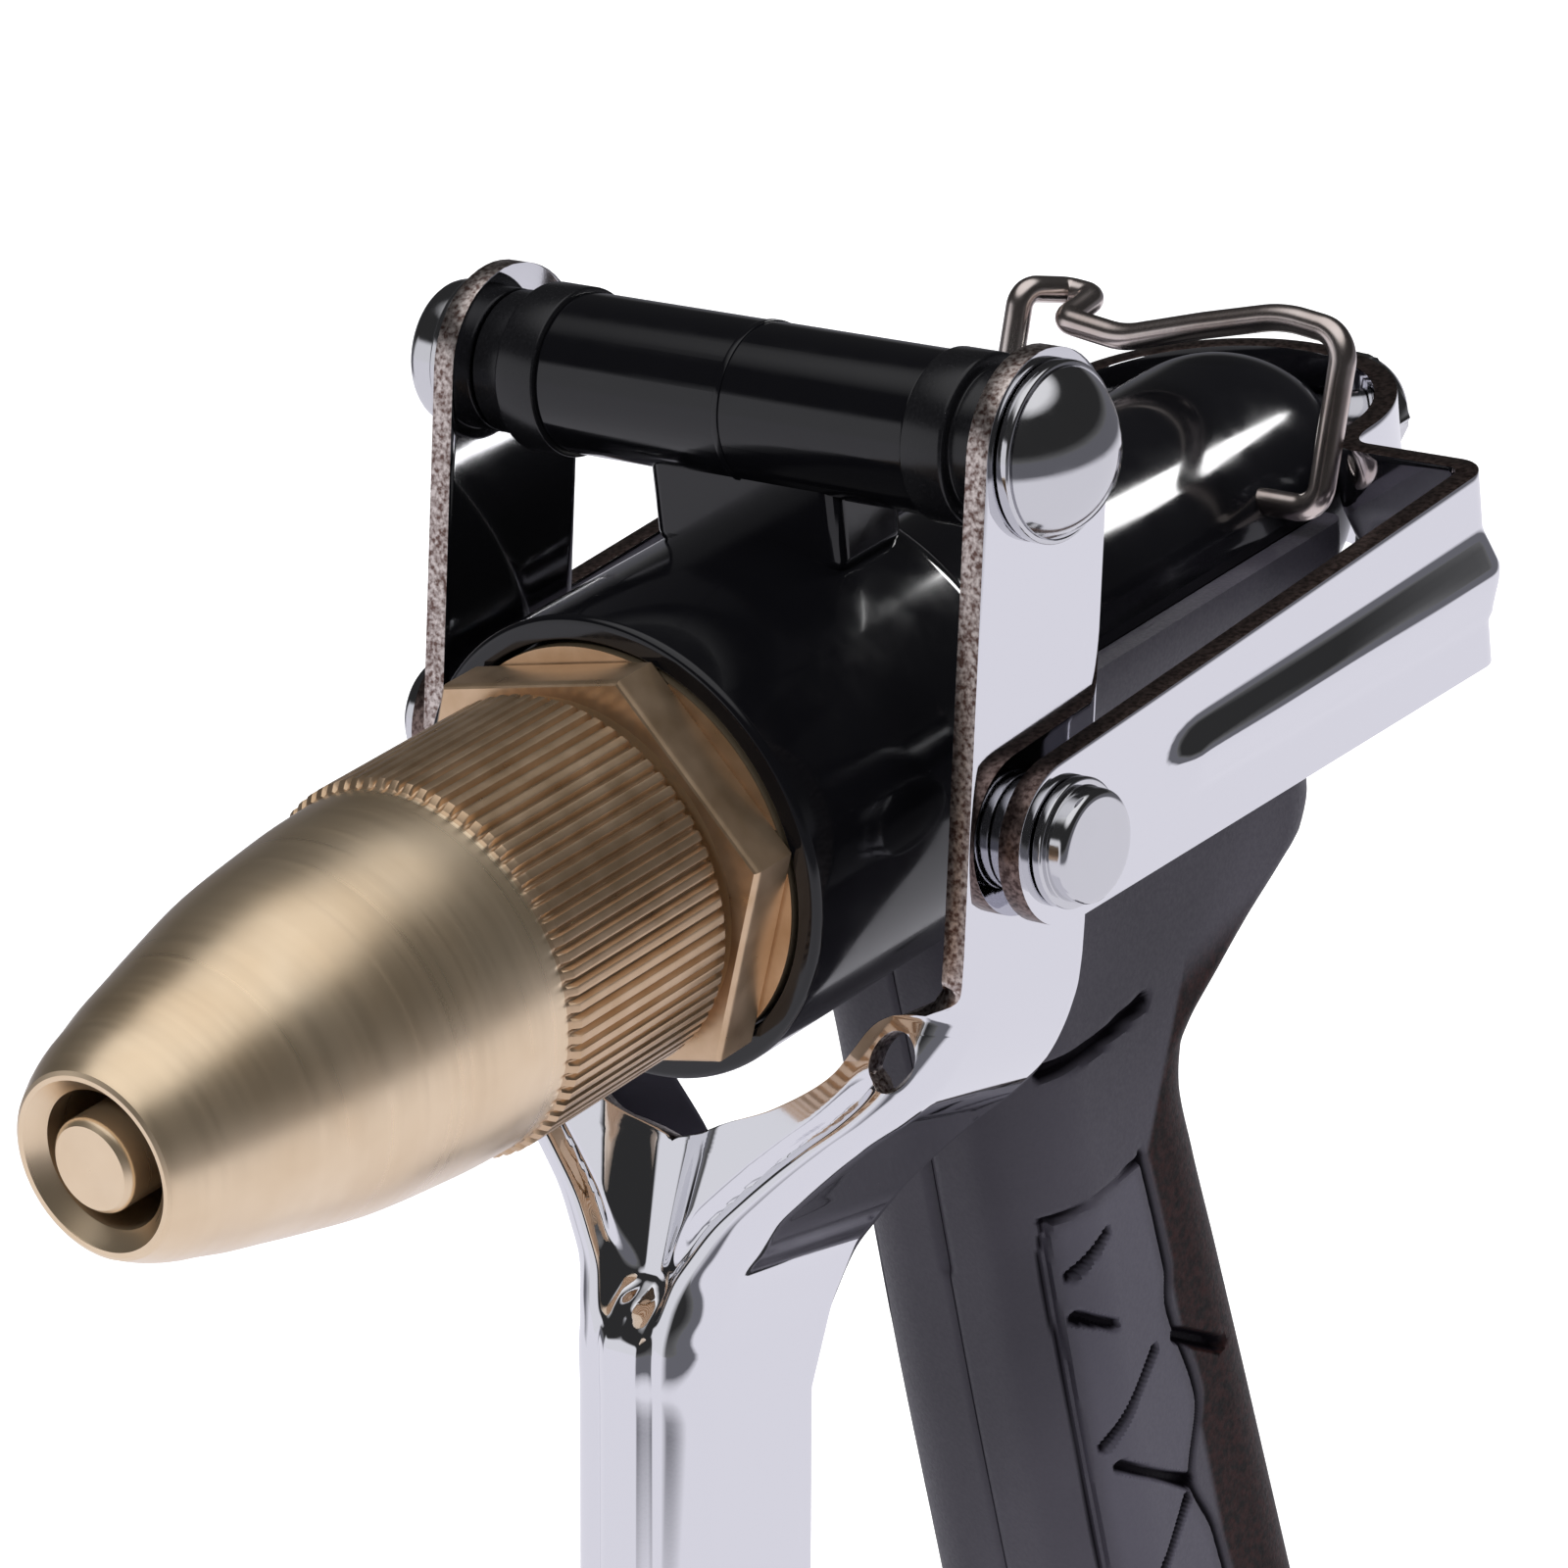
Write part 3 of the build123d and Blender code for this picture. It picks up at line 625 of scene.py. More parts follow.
def flute(along, radius, angle):
    """Straight knurl: V flutes with narrow crests, running out at both chamfers."""
    if not KNURL_FRONT - 0.9 <= along <= KNURL_REAR + 0.01 or radius < TURNED_R:
        return radius
    phase = (angle * FLUTES / (2 * pi)) % 1.0
    valley = smooth(0.22, 0.46, 0.5 - abs(phase - 0.5))
    run_out = (0.6 + 0.4 * smooth(11.45, KNURL_R, radius)) * smooth(-32.2, KNURL_FRONT, along)
    return radius - FLUTE_DEPTH * run_out * valley


def build_sleeve():
    nose = curve(SLEEVE_NOSE)
    outer = [(y, nose(y)) for y in np.linspace(-59.55, -32.3, 44)]
    knurl = [(-32.0, 11.52), (-31.75, 11.6), (-31.5, 11.85), (KNURL_FRONT, KNURL_R)]
    knurl += [(y, KNURL_R) for y in np.linspace(-30.5, -18.1, 6)]
    knurl += [(-17.9, KNURL_R), (-17.65, 11.85), (-17.45, 11.6), (KNURL_REAR, 11.4), (KNURL_REAR, 8.7)]
    inner = [(-17.5, 8.68), (-19.2, 8.68), (-19.2, 10.7), (-21.8, 10.7), (-21.8, 8.68), (-27.0, 8.68),
             (-27.0, 7.58), (-47.0, 7.58), (-55.6, 4.2)]
    tip = [(-58.4, 4.2), (-58.7, 4.25), (-59.55, 5.08), (-59.68, 5.2), (-59.7, 5.5)]
    sleeve = lathe("spray_sleeve_brass", outer + knurl + inner + tip, FLUTES * 12, flute, closed=True)
    brass_and_knurl(sleeve, -32.1, KNURL_REAR)
    finish_piece(sleeve, "sleeve", [], "spray_sleeve", 24)


# ---- trigger --------------------------------------------------------------------------
# Places on the trigger are given down its length from the pivot, and forward (-) or back (+)
# from the line that runs down it.
LEAN = radians(13.0)
EAR_HALF = 6.15
LEVER_HALF, LEVER_FRONT, LEVER_DEPTH, LEVER_TOP, LEVER_END = 5.0, -10.4, 12.3, 57.0, 118.0
LEVER_TAPER = 0.057
NECK, REAR_START, REAR_END = 34.0, 49.5, 61.5
WEB_END = 44.8                      # where the front wall closes across the middle
width_at = curve([(-7, 21), (30, 21), (33, 20.8), (35, 20.3), (37, 19.5), (39, 18.3), (41, 16.5), (43, 14.2),
                  (45, 12.0), (47, 10.0), (49, 8.2), (51, 6.9), (53, 5.8), (55, 5.3), (57, LEVER_HALF),
                  (119, LEVER_HALF)])
web_top = curve([(33.8, 17.4), (34.1, 16.0), (34.9, 14.7), (36.6, 13.5), (38.3, 12.3), (41.2, 8.2),
                 (42.6, 5.0), (43.9, 2.4), (WEB_END, 0.0)])


def lever_point(x, back, t):
    y = PIVOT[0] - t * sin(LEAN) + back * cos(LEAN)
    return x, y, PIVOT[1] - t * cos(LEAN) - back * sin(LEAN)


def front_at(t):
    """Front of the lever: slopes forward below the ears, then runs back slightly."""
    lower = LEVER_FRONT + LEVER_TAPER * (t - LEVER_TOP)
    upper = -EAR_HALF + (LEVER_FRONT + EAR_HALF) * max(t - NECK, 0.0) / (LEVER_TOP - NECK)
    return upper + (lower - upper) * smooth(53.0, 61.0, t)


def rear_at(t):
    """Rear edge of the flanges: straight below the ears, then forward to the lever's depth."""
    lower = LEVER_FRONT + LEVER_DEPTH + LEVER_TAPER * (max(t, REAR_END) - LEVER_TOP)
    share = min(max((t - REAR_START) / (REAR_END - REAR_START), 0.0), 1.0)
    return EAR_HALF + (lower - EAR_HALF) * share


def web_dent(x, t):
    """How far the front wall is pressed in: a trough that narrows downwards, a crease beside each
    flange, and below them a raised strip."""
    half = 4.5 - 1.9 * (t - WEB_END) / 9.2
    trough = 1.7 * (1 - smooth(half * 0.15, half, abs(x))) * (1 - smooth(53.2, 55.2, t))
    from_crease = abs(x - width_at(t) + 3.6)
    crease = 0.7 * (1 - smooth(0.0, 1.7, from_crease)) * smooth(37, 40, t) * (1 - smooth(54, 57, t))
    raised = 0.5 * (1 - smooth(1.8, 2.5, abs(x))) * smooth(54.8, 57.5, t)
    return trough + crease - raised


BEND_R, BEND_START, BEND_DONE, WEB_START = 2.7, 31.6, 34.2, 33.8
# The slanted oval hole between ear and front wall: x, t, half width, half length and slant.
RELIEF = (16.4, 36.8, 1.5, 2.0, radians(24))


def corner_end(t):
    """How far the bend between flange and front wall has turned at a place down the lever."""
    return pi / 2 * smooth(BEND_START, BEND_DONE, t)


def relief_reach():
    """How far the oval hole reaches up and down from its middle."""
    _, _, a, b, turn = RELIEF
    return hypot(a * sin(turn), b * cos(turn))


def relief_span(t):
    """Outer and inner x of the oval hole; they are equal at and past its ends."""
    x0, t0, a, b, turn = RELIEF
    c, s = cos(turn), sin(turn)
    dt = min(max(t - t0, -relief_reach()), relief_reach())
    qa = (c / a) ** 2 + (s / b) ** 2
    qb = 2 * dt * c * s * (1 / a**2 - 1 / b**2)
    qc = dt**2 * ((s / a) ** 2 + (c / b) ** 2) - 1
    root = sqrt(max(qb * qb - 4 * qa * qc, 0.0))
    if root < 1e-4:
        root = 0.0
    return x0 + (root - qb) / (2 * qa), x0 - (root + qb) / (2 * qa)


def wall_run(t, x):
    """Length round the bend and across the front wall from the flange to an x."""
    w, psi = width_at(t), corner_end(t)
    x0 = w - BEND_R * (1 - cos(psi))
    if x >= x0:
        return BEND_R * acos(min(max(1 - (w - x) / BEND_R, -1.0), 1.0))
    return BEND_R * psi + x0 - x


def wall_point(t, run):
    """The point of the bend or the front wall at that length."""
    w, psi, top = width_at(t), corner_end(t), front_at(t)
    if run < BEND_R * psi:
        a = run / BEND_R
        return lever_point(w - BEND_R * (1 - cos(a)), top + BEND_R * (sin(psi) - sin(a)), t)
    x0 = w - BEND_R * (1 - cos(psi))
    x = x0 - (run - BEND_R * psi)
    return lever_point(x, top + web_dent(x, t) * smooth(0.0, 1.2, x0 - x), t)


def trigger_rows(hole_rows):
    """Places down the trigger: close together round the pivot, at the bend and at the hole."""
    rows = [-EAR_HALF * cos(a) for a in np.linspace(0, pi / 2, 14)]
    for more in (np.linspace(0.5, 5.5, 11), np.linspace(6.2, 31.4, 14), np.arange(BEND_START, 33.7, 0.3),
                 np.linspace(WEB_START, hole_rows[0] - 0.1, 8), hole_rows,
                 np.arange(hole_rows[-1] + 0.25, 60, 0.3), np.linspace(60.5, LEVER_END, 60)):
        rows += list(more)
    return rows


def build_trigger():
    """Half of the bent sheet: columns run from the flange's rear edge round the bend and across the
    front wall, and part round the hole."""
    reach, hole_t = relief_reach(), RELIEF[1]
    hole_rows = [hole_t + reach * sin(k) for k in np.linspace(-pi / 2, pi / 2, 19)]
    rows = trigger_rows(hole_rows)
    flange_n, corner_n, web_n = 24, 10, 34
    run_above = wall_run(hole_rows[0], relief_span(hole_rows[0])[0])
    run_below = wall_run(hole_rows[-1], relief_span(hole_rows[-1])[0])
    half, open_rows = [], []
    for t in rows:
        low = rear_at(t) if t >= 0 else sqrt(max(EAR_HALF**2 - t * t, 0))
        top = front_at(t) if t >= 0 else -low
        psi = corner_end(t)
        flat_end = top + BEND_R * sin(psi)
        for k in range(flange_n):
            half.append(lever_point(width_at(t), low + (flat_end - low) * k / flange_n, t))
        if psi < 1e-6:
            half += [lever_point(width_at(t), flat_end, t)] * (corner_n + web_n + 2)
            open_rows.append(False)
            continue
        end = web_top(t) if t < WEB_END else 0.0
        run_end = BEND_R * psi if t < WEB_START else max(wall_run(t, end), BEND_R * psi)
        gap = (run_above, run_above) if t < hole_t else (run_below, run_below)
        if abs(t - hole_t) < reach:
            gap = [wall_run(t, x) for x in relief_span(t)]
        gap = [min(run, run_end) for run in gap]
        open_rows.append(gap[1] - gap[0] > 1e-3)
        half += [wall_point(t, gap[0] * k / corner_n) for k in range(corner_n + 1)]
        half += [wall_point(t, gap[1] + (run_end - gap[1]) * k / web_n) for k in range(web_n + 1)]
    cols = flange_n + corner_n + web_n + 2
    faces = []
    for index, face in enumerate(grid_faces(len(rows), cols)):
        row, col = divmod(index, cols - 1)
        if col != flange_n + corner_n or not (open_rows[row] or open_rows[row + 1]):
            faces.append(face)
    sheet = both_halves("trigger_lever", half, faces)
    for at, radius in ((PIVOT, 2.06), (LINK, 2.02)):
        punch(sheet, at, radius, 19.0)
    orient(sheet, Vector((0, -1, 0)), Vector((0, -16.0, -70.0)))
    thicken(sheet, RAW)
    finish_piece(sheet, "trigger", [CHROME, RAW], "trigger", 36)


def both_halves(name, half, faces):
    """A half sheet and its mirror image across the middle plane."""
    mirrored = [tuple(i + len(half) for i in reversed(f)) for f in faces]
    return mesh_object(name, half + [(-x, y, z) for x, y, z in half], faces + mirrored)


def punch(obj, at, radius, beyond):
    """Round hole along X through the parts of a sheet that lie beyond an X value."""
    bm = bmesh.new()
    bm.from_mesh(obj.data)

    def offset(place):
        return place.y / MM - at[0], place.z / MM - at[1]

    middles = [(f, f.calc_center_median()) for f in bm.faces]
    inside = [f for f, m in middles if abs(m.x) > beyond * MM and hypot(*offset(m)) < radius]
    bmesh.ops.delete(bm, geom=inside, context="FACES")
    for v in bm.verts:
        y, z = offset(v.co)
        d = hypot(y, z)
        if v.is_boundary and abs(v.co.x) > beyond * MM and d < radius * 1.6:
            v.co.y, v.co.z = (at[0] + y * radius / d) * MM, (at[1] + z * radius / d) * MM
    bm.to_mesh(obj.data)
    bm.free()


def orient(obj, direction, near):
    """Flips an open sheet so that its faces near a point look along a direction."""
    face = min(obj.data.polygons, key=lambda p: (p.center - near * MM).length)
    if face.normal.dot(direction) < 0:
        obj.data.flip_normals()


def thicken(obj, rim):
    """Sheet metal inwards from the outer face, raw metal on its rim, with eased rims."""
    obj.data.materials.append(CHROME)
    obj.data.materials.append(rim)
    mod = obj.modifiers.new("sheet", "SOLIDIFY")
    mod.thickness, mod.offset, mod.use_even_offset = SHEET * MM, -1.0, False
    mod.use_quality_normals = True
    mod.material_offset_rim = 1
    mod.thickness_clamp = 0.0
    apply_modifiers(obj)
    bevel(obj, 0.18, 2, 62)


# ---- yoke -----------------------------------------------------------------------------
YOKE_OUT, YOKE_REAR, NOSE_R = 23.4, 48.8, 5.1
YOKE_LOW, YOKE_HIGH = -7.0, 6.2     # edges of the strap behind the barrel
STRAP_ARC_R, CORNER_R = 12.4, 2.4


def yoke_heights(y):
    """Lower and upper edge of the strap: round about the pin, then slowly wider to the rear."""
    if y < LINK[0]:
        reach = sqrt(max(NOSE_R**2 - (y - LINK[0]) ** 2, 0))
        return LINK[1] - reach, LINK[1] + reach
    share = min((y - LINK[0]) / (YOKE_REAR - LINK[0]), 1.0)
    low, high = LINK[1] - NOSE_R, LINK[1] + NOSE_R
    return low + (YOKE_LOW - low) * share, high + (YOKE_HIGH - high) * share


def yoke_rib(run, z):
    """Height of the pressed bead along the arm; run is the distance from the pin along the strip."""
    share = min(max((run - 11.5) / 34, 0), 1)
    top, low = 1.9 + 0.2 * share, -2.6 - 1.5 * share
    flank = 1.7 + 0.8 * share
    start = smooth(0, 1.8, run - 10.6 - 1.2 * ((z + 0.4) / 2.2) ** 2)
    rise = min(max((top - z) / flank, 0.0), 1.0)
    up = rise if rise < 0.85 else 0.85 + 0.15 * smooth(0.85, 1.15, rise) * 2
    fall = min(max((z - low) / (top - flank - low), 0.0), 1.0)
    down = 0.25 * smooth(0.0, 0.16, fall) + 0.75 * smooth(0.0, 1.0, fall)
    end = 1 - smooth(0, 1, (run - 57) / 4)
    return 0.95 * start * min(up, 1.0) * (down if z < top - flank else 1.0) * end


def yoke_path():
    """Half of the strap seen from above, from its rounded front end to the middle of the rear."""
    arc = [np.array([STRAP_ARC_R * cos(a), DOME_START + STRAP_ARC_R * sin(a)])
           for a in np.linspace(radians(2), pi / 2, 34)]
    corner = [(YOKE_OUT, LINK[0] - NOSE_R), (YOKE_OUT, YOKE_REAR), (13.9, YOKE_REAR)]
    straight = fillet_path(corner, [CORNER_R])
    a, b, c = straight[-1], np.array([12.5, YOKE_REAR]), arc[0]
    blend = [(1 - t) ** 2 * a + 2 * t * (1 - t) * b + t * t * c for t in np.linspace(0.1, 0.9, 8)]
    nose = [np.array([YOKE_OUT, LINK[0] - NOSE_R * cos(t)]) for t in np.linspace(0.06, pi / 2, 16)]
    return nose + [p for p in straight + blend + arc if p[1] > LINK[0] + 0.4]


def build_yoke():
    path = yoke_path()
    cols = 31
    half, run = [], 0.0
    for i, p in enumerate(path):
        q0, q1 = path[max(i - 1, 0)], path[min(i + 1, len(path) - 1)]
        d = (q1 - q0) / np.linalg.norm(q1 - q0)
        if i:
            run += float(np.linalg.norm(p - path[i - 1]))
        low, high = yoke_heights(min(float(p[1]), YOKE_REAR) if p[0] > 22 or p[1] < 40 else YOKE_REAR)
        for k in range(cols):
            z = low + (high - low) * k / (cols - 1)
            lift = yoke_rib(run - NOSE_R, z)
            half.append((p[0] + d[1] * lift, p[1] - d[0] * lift, z))
    sheet = both_halves("yoke_strap", half, grid_faces(len(path), cols))
    orient(sheet, Vector((1, 0, 0)), Vector((YOKE_OUT, 8.0, 0.0)))
    thicken(sheet, RAW_YOKE_SHADED)
    combine(sheet, rod("hole", 2.06, -30, 30, LINK), "DIFFERENCE")
    combine(sheet, lathe("hole", [(56, 3.1), (70, 3.1)], 64), "DIFFERENCE")
    finish_piece(sheet, "yoke", [CHROME, RAW_YOKE_SHADED], "yoke", 36)


# ---- pins, washers, bushings ----------------------------------------------------------
def build_pins():
    base, height, seat = 5.2, 3.0, 22.0
    ball = (height**2 + base**2) / (2 * height)
    dome = [(seat + height - ball + ball * cos(a), ball * sin(a))
            for a in np.linspace(np.arcsin(base / ball) * 0.985, 0.02, 16)]
    rivet = [(-23.6, 1.8), (-23.4, 2.0), (seat, 2.0), (seat, 5.05), (seat + 0.12, base)] + dome
    finish_piece(across("pivot_rivet", rivet, 96, PIVOT), "frame", [ZINC], "trigger_pivot_pin")
    cap = rounded([(-24.6, 0.5), (-24.6, 4.6), (-22.05, 4.6), (-22.05, 2.0)], [0.9, 0.2], 6)
    finish_piece(across("pivot_cap", cap, 72, PIVOT), "frame", [ZINC], "pivot_end_cap")

    def washer(side):
        return disc_ring("washer", 2.0, 5.5, *sorted((side * 21.1, side * 22.0)), PIVOT, 0.2)

    def bush(side):
        outline = ((14.0, 2.05), (14.0, 5.3), (17.0, 5.3), (17.0, 4.5), (19.4, 4.5), (19.4, 2.05))
        profile = rounded([(side * x, r) for x, r in outline], [0.15, 0.3, 0.15, 0.25])
        return across("bush", profile, 80, PIVOT, closed=True)

    def pin(side):
        outline = ((18.2, 0.5), (18.2, 3.3), (19.5, 3.3), (19.5, 2.0), (23.5, 2.0), (23.5, 4.0), (24.2, 4.0),
                   (24.2, 3.5), (25.6, 3.5), (25.6, 0.4))
        profile = rounded([(side * x, r) for x, r in outline], [0.3, 0.2, 0, 0, 0.18, 0.18, 0.08, 0.55], 5)
        return across("pin", profile, 80, LINK)

    def spacer(side):
        return disc_ring("spacer", 2.0, 3.6, *sorted((side * 21.0, side * 21.85)), LINK, 0.12)

    for name, make, body, mat, node, slot in (
            ("pivot_washer_pair", washer, "frame", ZINC, "pivot_washers", "zinc"),
            ("pivot_bush_pair", bush, "frame", ACETAL, "pivot_bushings", "bush_black"),
            ("yoke_pin_pair", pin, "trigger", ZINC, "yoke_pins", "zinc"),
            ("yoke_spacer_pair", spacer, "trigger", ZINC, "yoke_spacers", "zinc")):
        finish_piece(joined(name, [make(side) for side in (-1, 1)]), body, [mat], node)


# ---- bail, stem end -------------------------------------------------------------------
BAIL = (44.3, 3.0)
BAIL_LEAN = radians(24)
BAIL_HALF, WIRE_R = 12.8, 0.9


def build_bail():
    def at(x, t, back=0.0):
        """A place across, up along the bail's lean and behind it."""
        y = BAIL[0] + t * sin(BAIL_LEAN) + back * cos(BAIL_LEAN)
        return x, y, BAIL[1] + t * cos(BAIL_LEAN) - back * sin(BAIL_LEAN)

    points = [at(-7.5, 0), at(-BAIL_HALF, 0), at(-BAIL_HALF, 11.2), at(-11.6, 11.6, 3.6), at(-9.4, 11.4, 3.6),
              at(-9.2, 9.6, 0.2), at(-4.2, 9.0), at(1.8, 10.6), at(7.8, 12.0), at(BAIL_HALF, 11.4),
              at(BAIL_HALF, 0), at(7.5, 0)]
    path = fillet_path(points, [1.6, 1.3, 0.9, 0.9, 0.9, 6.0, 14.0, 9.0, 2.2, 1.6], 0.2)
    finish_piece(sweep("bail_wire", path, WIRE_R, 20), "bail", [WIRE], "hold_open_bail")


def sweep(name, path, radius, sides):
    """Round wire along a path, with eased ends."""
    pts = [path[0]]
    for p in path[1:]:
        if np.linalg.norm(p - pts[-1]) > 0.03:
            pts.append(p)
    last = len(pts) - 1
    eased = [(0.0, 0.0), (0.0, 0.75), (0.1, 0.93), (0.25, 1.0)]
    rings = {0: eased, last: [(-shift, scale) for shift, scale in reversed(eased)]}
    up = np.array([0.0, 0.0, 1.0])
    verts = []
    for i, p in enumerate(pts):
        t = pts[min(i + 1, last)] - pts[max(i - 1, 0)]
        t = t / np.linalg.norm(t)
        up = up - t * (up @ t)
        up = up / np.linalg.norm(up)
        side = np.cross(t, up)
        for shift, scale in rings.get(i, [(0.0, 1.0)]):
            for a in np.arange(sides) * 2 * pi / sides:
                verts.append(p + t * shift + (up * cos(a) + side * sin(a)) * radius * scale)
    return mesh_object(name, verts, grid_faces(len(verts) // sides, sides, close_cols=True))


def build_stem_end():
    disc = [(63.8, 2.5), (63.8, 4.85), (63.9, 5.0), (64.5, 5.0), (64.6, 4.85), (64.6, 2.5)]
    washer = lathe("stem_washer_disc", disc, 72, closed=True)
    finish_piece(washer, "valve", [ZINC], "stem_washer")

    def flats(along, radius, angle):
        return radius if radius < 3.9 else min(radius, six_sided(4.6, angle))

    profile = [(64.6, 2.55), (64.6, 4.1), (64.9, 4.6), (67.6, 4.6), (68.0, 4.2), (68.1, 3.8), (68.6, 3.75),
               (69.3, 3.3), (69.9, 2.7), (70.3, 1.9), (70.55, 1.0)]
    finish_piece(lathe("stem_cap_nut", profile, 90, flats), "valve", [ZINC], "stem_nut", 26)


# ---- grip -----------------------------------------------------------------------------
# Places on the grip's side are given as s, down its length, and q, behind its middle line.
GRIP_Y, GRIP_LEAN, GRIP_HALF = 18.5, radians(9.0), 8.8
GRIP_TOP, FRONT_LENGTH, BACK_LENGTH = 0.3, 101.8, 98.0
COLLAR_HALF = 11.0                  # half width of the grip where it closes round the barrel
SCREWS = ((39.0, -20.5), (33.6, -52.0), (39.1, -83.8))
PANEL_START, PANEL_END = 35.0, 96.5
STROKE_PITCH = 29.5                 # the pattern of strokes repeats after this length
STROKES = (((38.6, -4.2), (40.1, -7.4)), ((43.3, -7.7), (45.3, -5.2)), ((49.5, -2.0), (53.5, -7.7)),
           ((55.5, -7.1), (60.9, -1.1)), ((61.9, -1.8), (65.0, -5.3)), ((49.9, 0.4), (53.6, 4.7)))
NECK_STROKE = ((25.9, 4.0), (25.8, -1.4), (25.0, -6.4))
front_edge = curve([(-102, 22.0), (-73, 18.6), (-50, 15.6), (-26.3, 13.0), (-14, 11.6), (1, 11.5)])
back_edge = curve([(-98.2, 46.2), (-76, 41.9), (-46, 35.9), (-38, 34.2), (-33, 33.4), (-30, 34.0),
                   (-28.5, 35.4), (-26.2, 39.2), (-24, 43.0), (-22, 47.0), (-20.6, 49.4), (-18.4, 50.4),
                   (-9, 50.3), (1, 50.0)])
panel_front = curve([(35.5, -8.1), (38, -8.6), (41, -8.8), (47.5, -8.9), (54.6, -9.1), (61, -9.3), (80, -9.3),
                     (96, -8.5)])
panel_rear = curve([(35.8, 0.6), (37.4, 0.7), (44.6, 0.9), (47.3, 0.3), (55.2, 1.4), (60.9, -0.9),
                    (65.9, 0.4), (80, 1.2), (96, 1.5)])


def grip_place(y, z):
    """The (s, q) of a place at (y, z)."""
    y = y - GRIP_Y
    return y * sin(GRIP_LEAN) - z * cos(GRIP_LEAN), y * cos(GRIP_LEAN) + z * sin(GRIP_LEAN)


def groove_line(s, q, a, b, width, depth):
    """Depth of a pressed stroke between two points of the side."""
    (s0, q0), (s1, q1) = a, b
    ds, dq = s1 - s0, q1 - q0
    t = np.clip(((s - s0) * ds + (q - q0) * dq) / (ds * ds + dq * dq), 0, 1)
    return depth * (1 - smooth(width * 0.25, width, np.hypot(s - s0 - t * ds, q - q0 - t * dq)))


def side_relief(s, q):
    """How deep the side of the grip is pressed in: borders and strokes, less the pillowed panel."""
    front, rear = panel_front(s), panel_rear(s)
    inside = smooth(PANEL_START, PANEL_START + 0.8, s) * (1 - smooth(PANEL_END - 1, PANEL_END, s))
    depth = 0.6 * (1 - smooth(0.05, 0.42, np.abs(q - front))) * inside
    depth = np.maximum(depth, 0.5 * (1 - smooth(0.05, 0.5, np.abs(q - rear))) * inside)
    depth = np.maximum(depth, groove_line(s, q, (35.6, -8.2), (35.9, 0.6), 0.5, 0.6))
    for shift in (0.0, STROKE_PITCH):
        for a, b in STROKES:
            depth = np.maximum(depth, groove_line(s - shift, q, a, b, 0.75, 1.0))
    depth = depth - 0.55 * np.sin(pi * np.clip((q - front) / (rear - front), 0, 1)) * inside
    for a, b in zip(NECK_STROKE, NECK_STROKE[1:]):
        depth = np.maximum(depth, groove_line(s, q, a, b, 0.8, 0.8))
    return depth


SPLIT = 0.04                        # half the gap between the two halves


def grip_section(front, back, half, corner):
    """Half of a section as (x, y) points from the front middle to the back middle."""
    flat = max(half - 5.8, 0.5) if corner > 3 else half - corner
    reach = min(corner, (back - front) / 2 - 0.5)
    pts = [(SPLIT, front + 0.16), (0.3, front)]
    pts += [(x, front) for x in np.linspace(0.6, flat, 8)]
    round_front, round_back = np.linspace(0.08, pi / 2, 34), np.linspace(0, pi / 2 - 0.08, 20)
    pts += [(flat + (half - flat) * sin(a), front + reach * (1 - cos(a))) for a in round_front]
    pts += [(half, y) for y in np.linspace(front + reach, back - reach, 110)[1:-1]]
    pts += [(flat + (half - flat) * cos(a), back - reach * (1 - sin(a))) for a in round_back]
    pts += [(x, back) for x in np.linspace(flat, 0.6, 8)]
    return pts + [(0.3, back), (SPLIT, back - 0.16)]


def colour_grip(shell):
    """Marks the dark back of the grip (with its painted reddish glints), its grooves (painted black as shade)
    and its panel for the material.
    """
    mesh = shell.data
    points = np.array([v.co for v in mesh.vertices]) / MM
    s, q = grip_place(points[:, 1], points[:, 2])
    limit = np.where(s < 36.0, 1.1 + (36.0 - s) * 0.75, np.maximum(panel_rear(s) + 0.5, 1.0))
    # The rear mask carries the back's dark colour and its painted reddish glints.
    rear = smooth(-0.3, 0.5, q - limit) * smooth(25.0, 28.0, s) * (1 - smooth(96.0, 97.0, s))
    # The groove mask carries the grooves' painted shade.
    groove = smooth(0.10, 0.45, side_relief(s, q)) * smooth(3.6, 5.0, np.abs(points[:, 0])) * (s > 20)
    pad = smooth(0.0, 1.4, q - panel_front(s)) * smooth(0.0, 1.4, panel_rear(s) - q)
    pad = pad * smooth(35.6, 37.0, s) * (1 - smooth(95.0, 96.0, s))
    for name, values in (("rear", rear), ("groove", groove), ("pad", pad)):
        mesh.attributes.new(name, "FLOAT", "POINT").data.foreach_set("value", values.astype(np.float32))


def grip_row(share):
    """Points of the right half's outline at a share of the way down; the row is level only at the
    top, because the back is shorter than the front."""
    z_front, z_back = GRIP_TOP - FRONT_LENGTH * share, GRIP_TOP - BACK_LENGTH * share
    front, back = front_edge(z_front), back_edge(z_back)
    middle = (z_front + z_back) / 2
    half = max(GRIP_HALF, sqrt(max(COLLAR_HALF**2 - min(middle, 0.0) ** 2, 0.0)))
    x, y = np.array(grip_section(front, back, half, 1.3 + 4.7 * smooth(9, 17, -middle))).T
    z = z_front + (z_back - z_front) * (y - front) / (back - front)
    s, q = grip_place(y, z)
    depth = side_relief(s, q) * smooth(4.0, 6.5, x)
    slot = 0.2 * (1 - smooth(0.25, 0.6, x)) * smooth(30.0, 30.8, s) * (1 - smooth(39.6, 40.4, s)) * (q < 0)
    dx, dy = np.gradient(x), np.gradient(y)
    length = np.hypot(dx, dy)
    inward_x, inward_y = -dy / length, dx / length
    return np.stack([np.maximum(x + inward_x * depth, SPLIT), y + inward_y * depth + slot, z], 1)


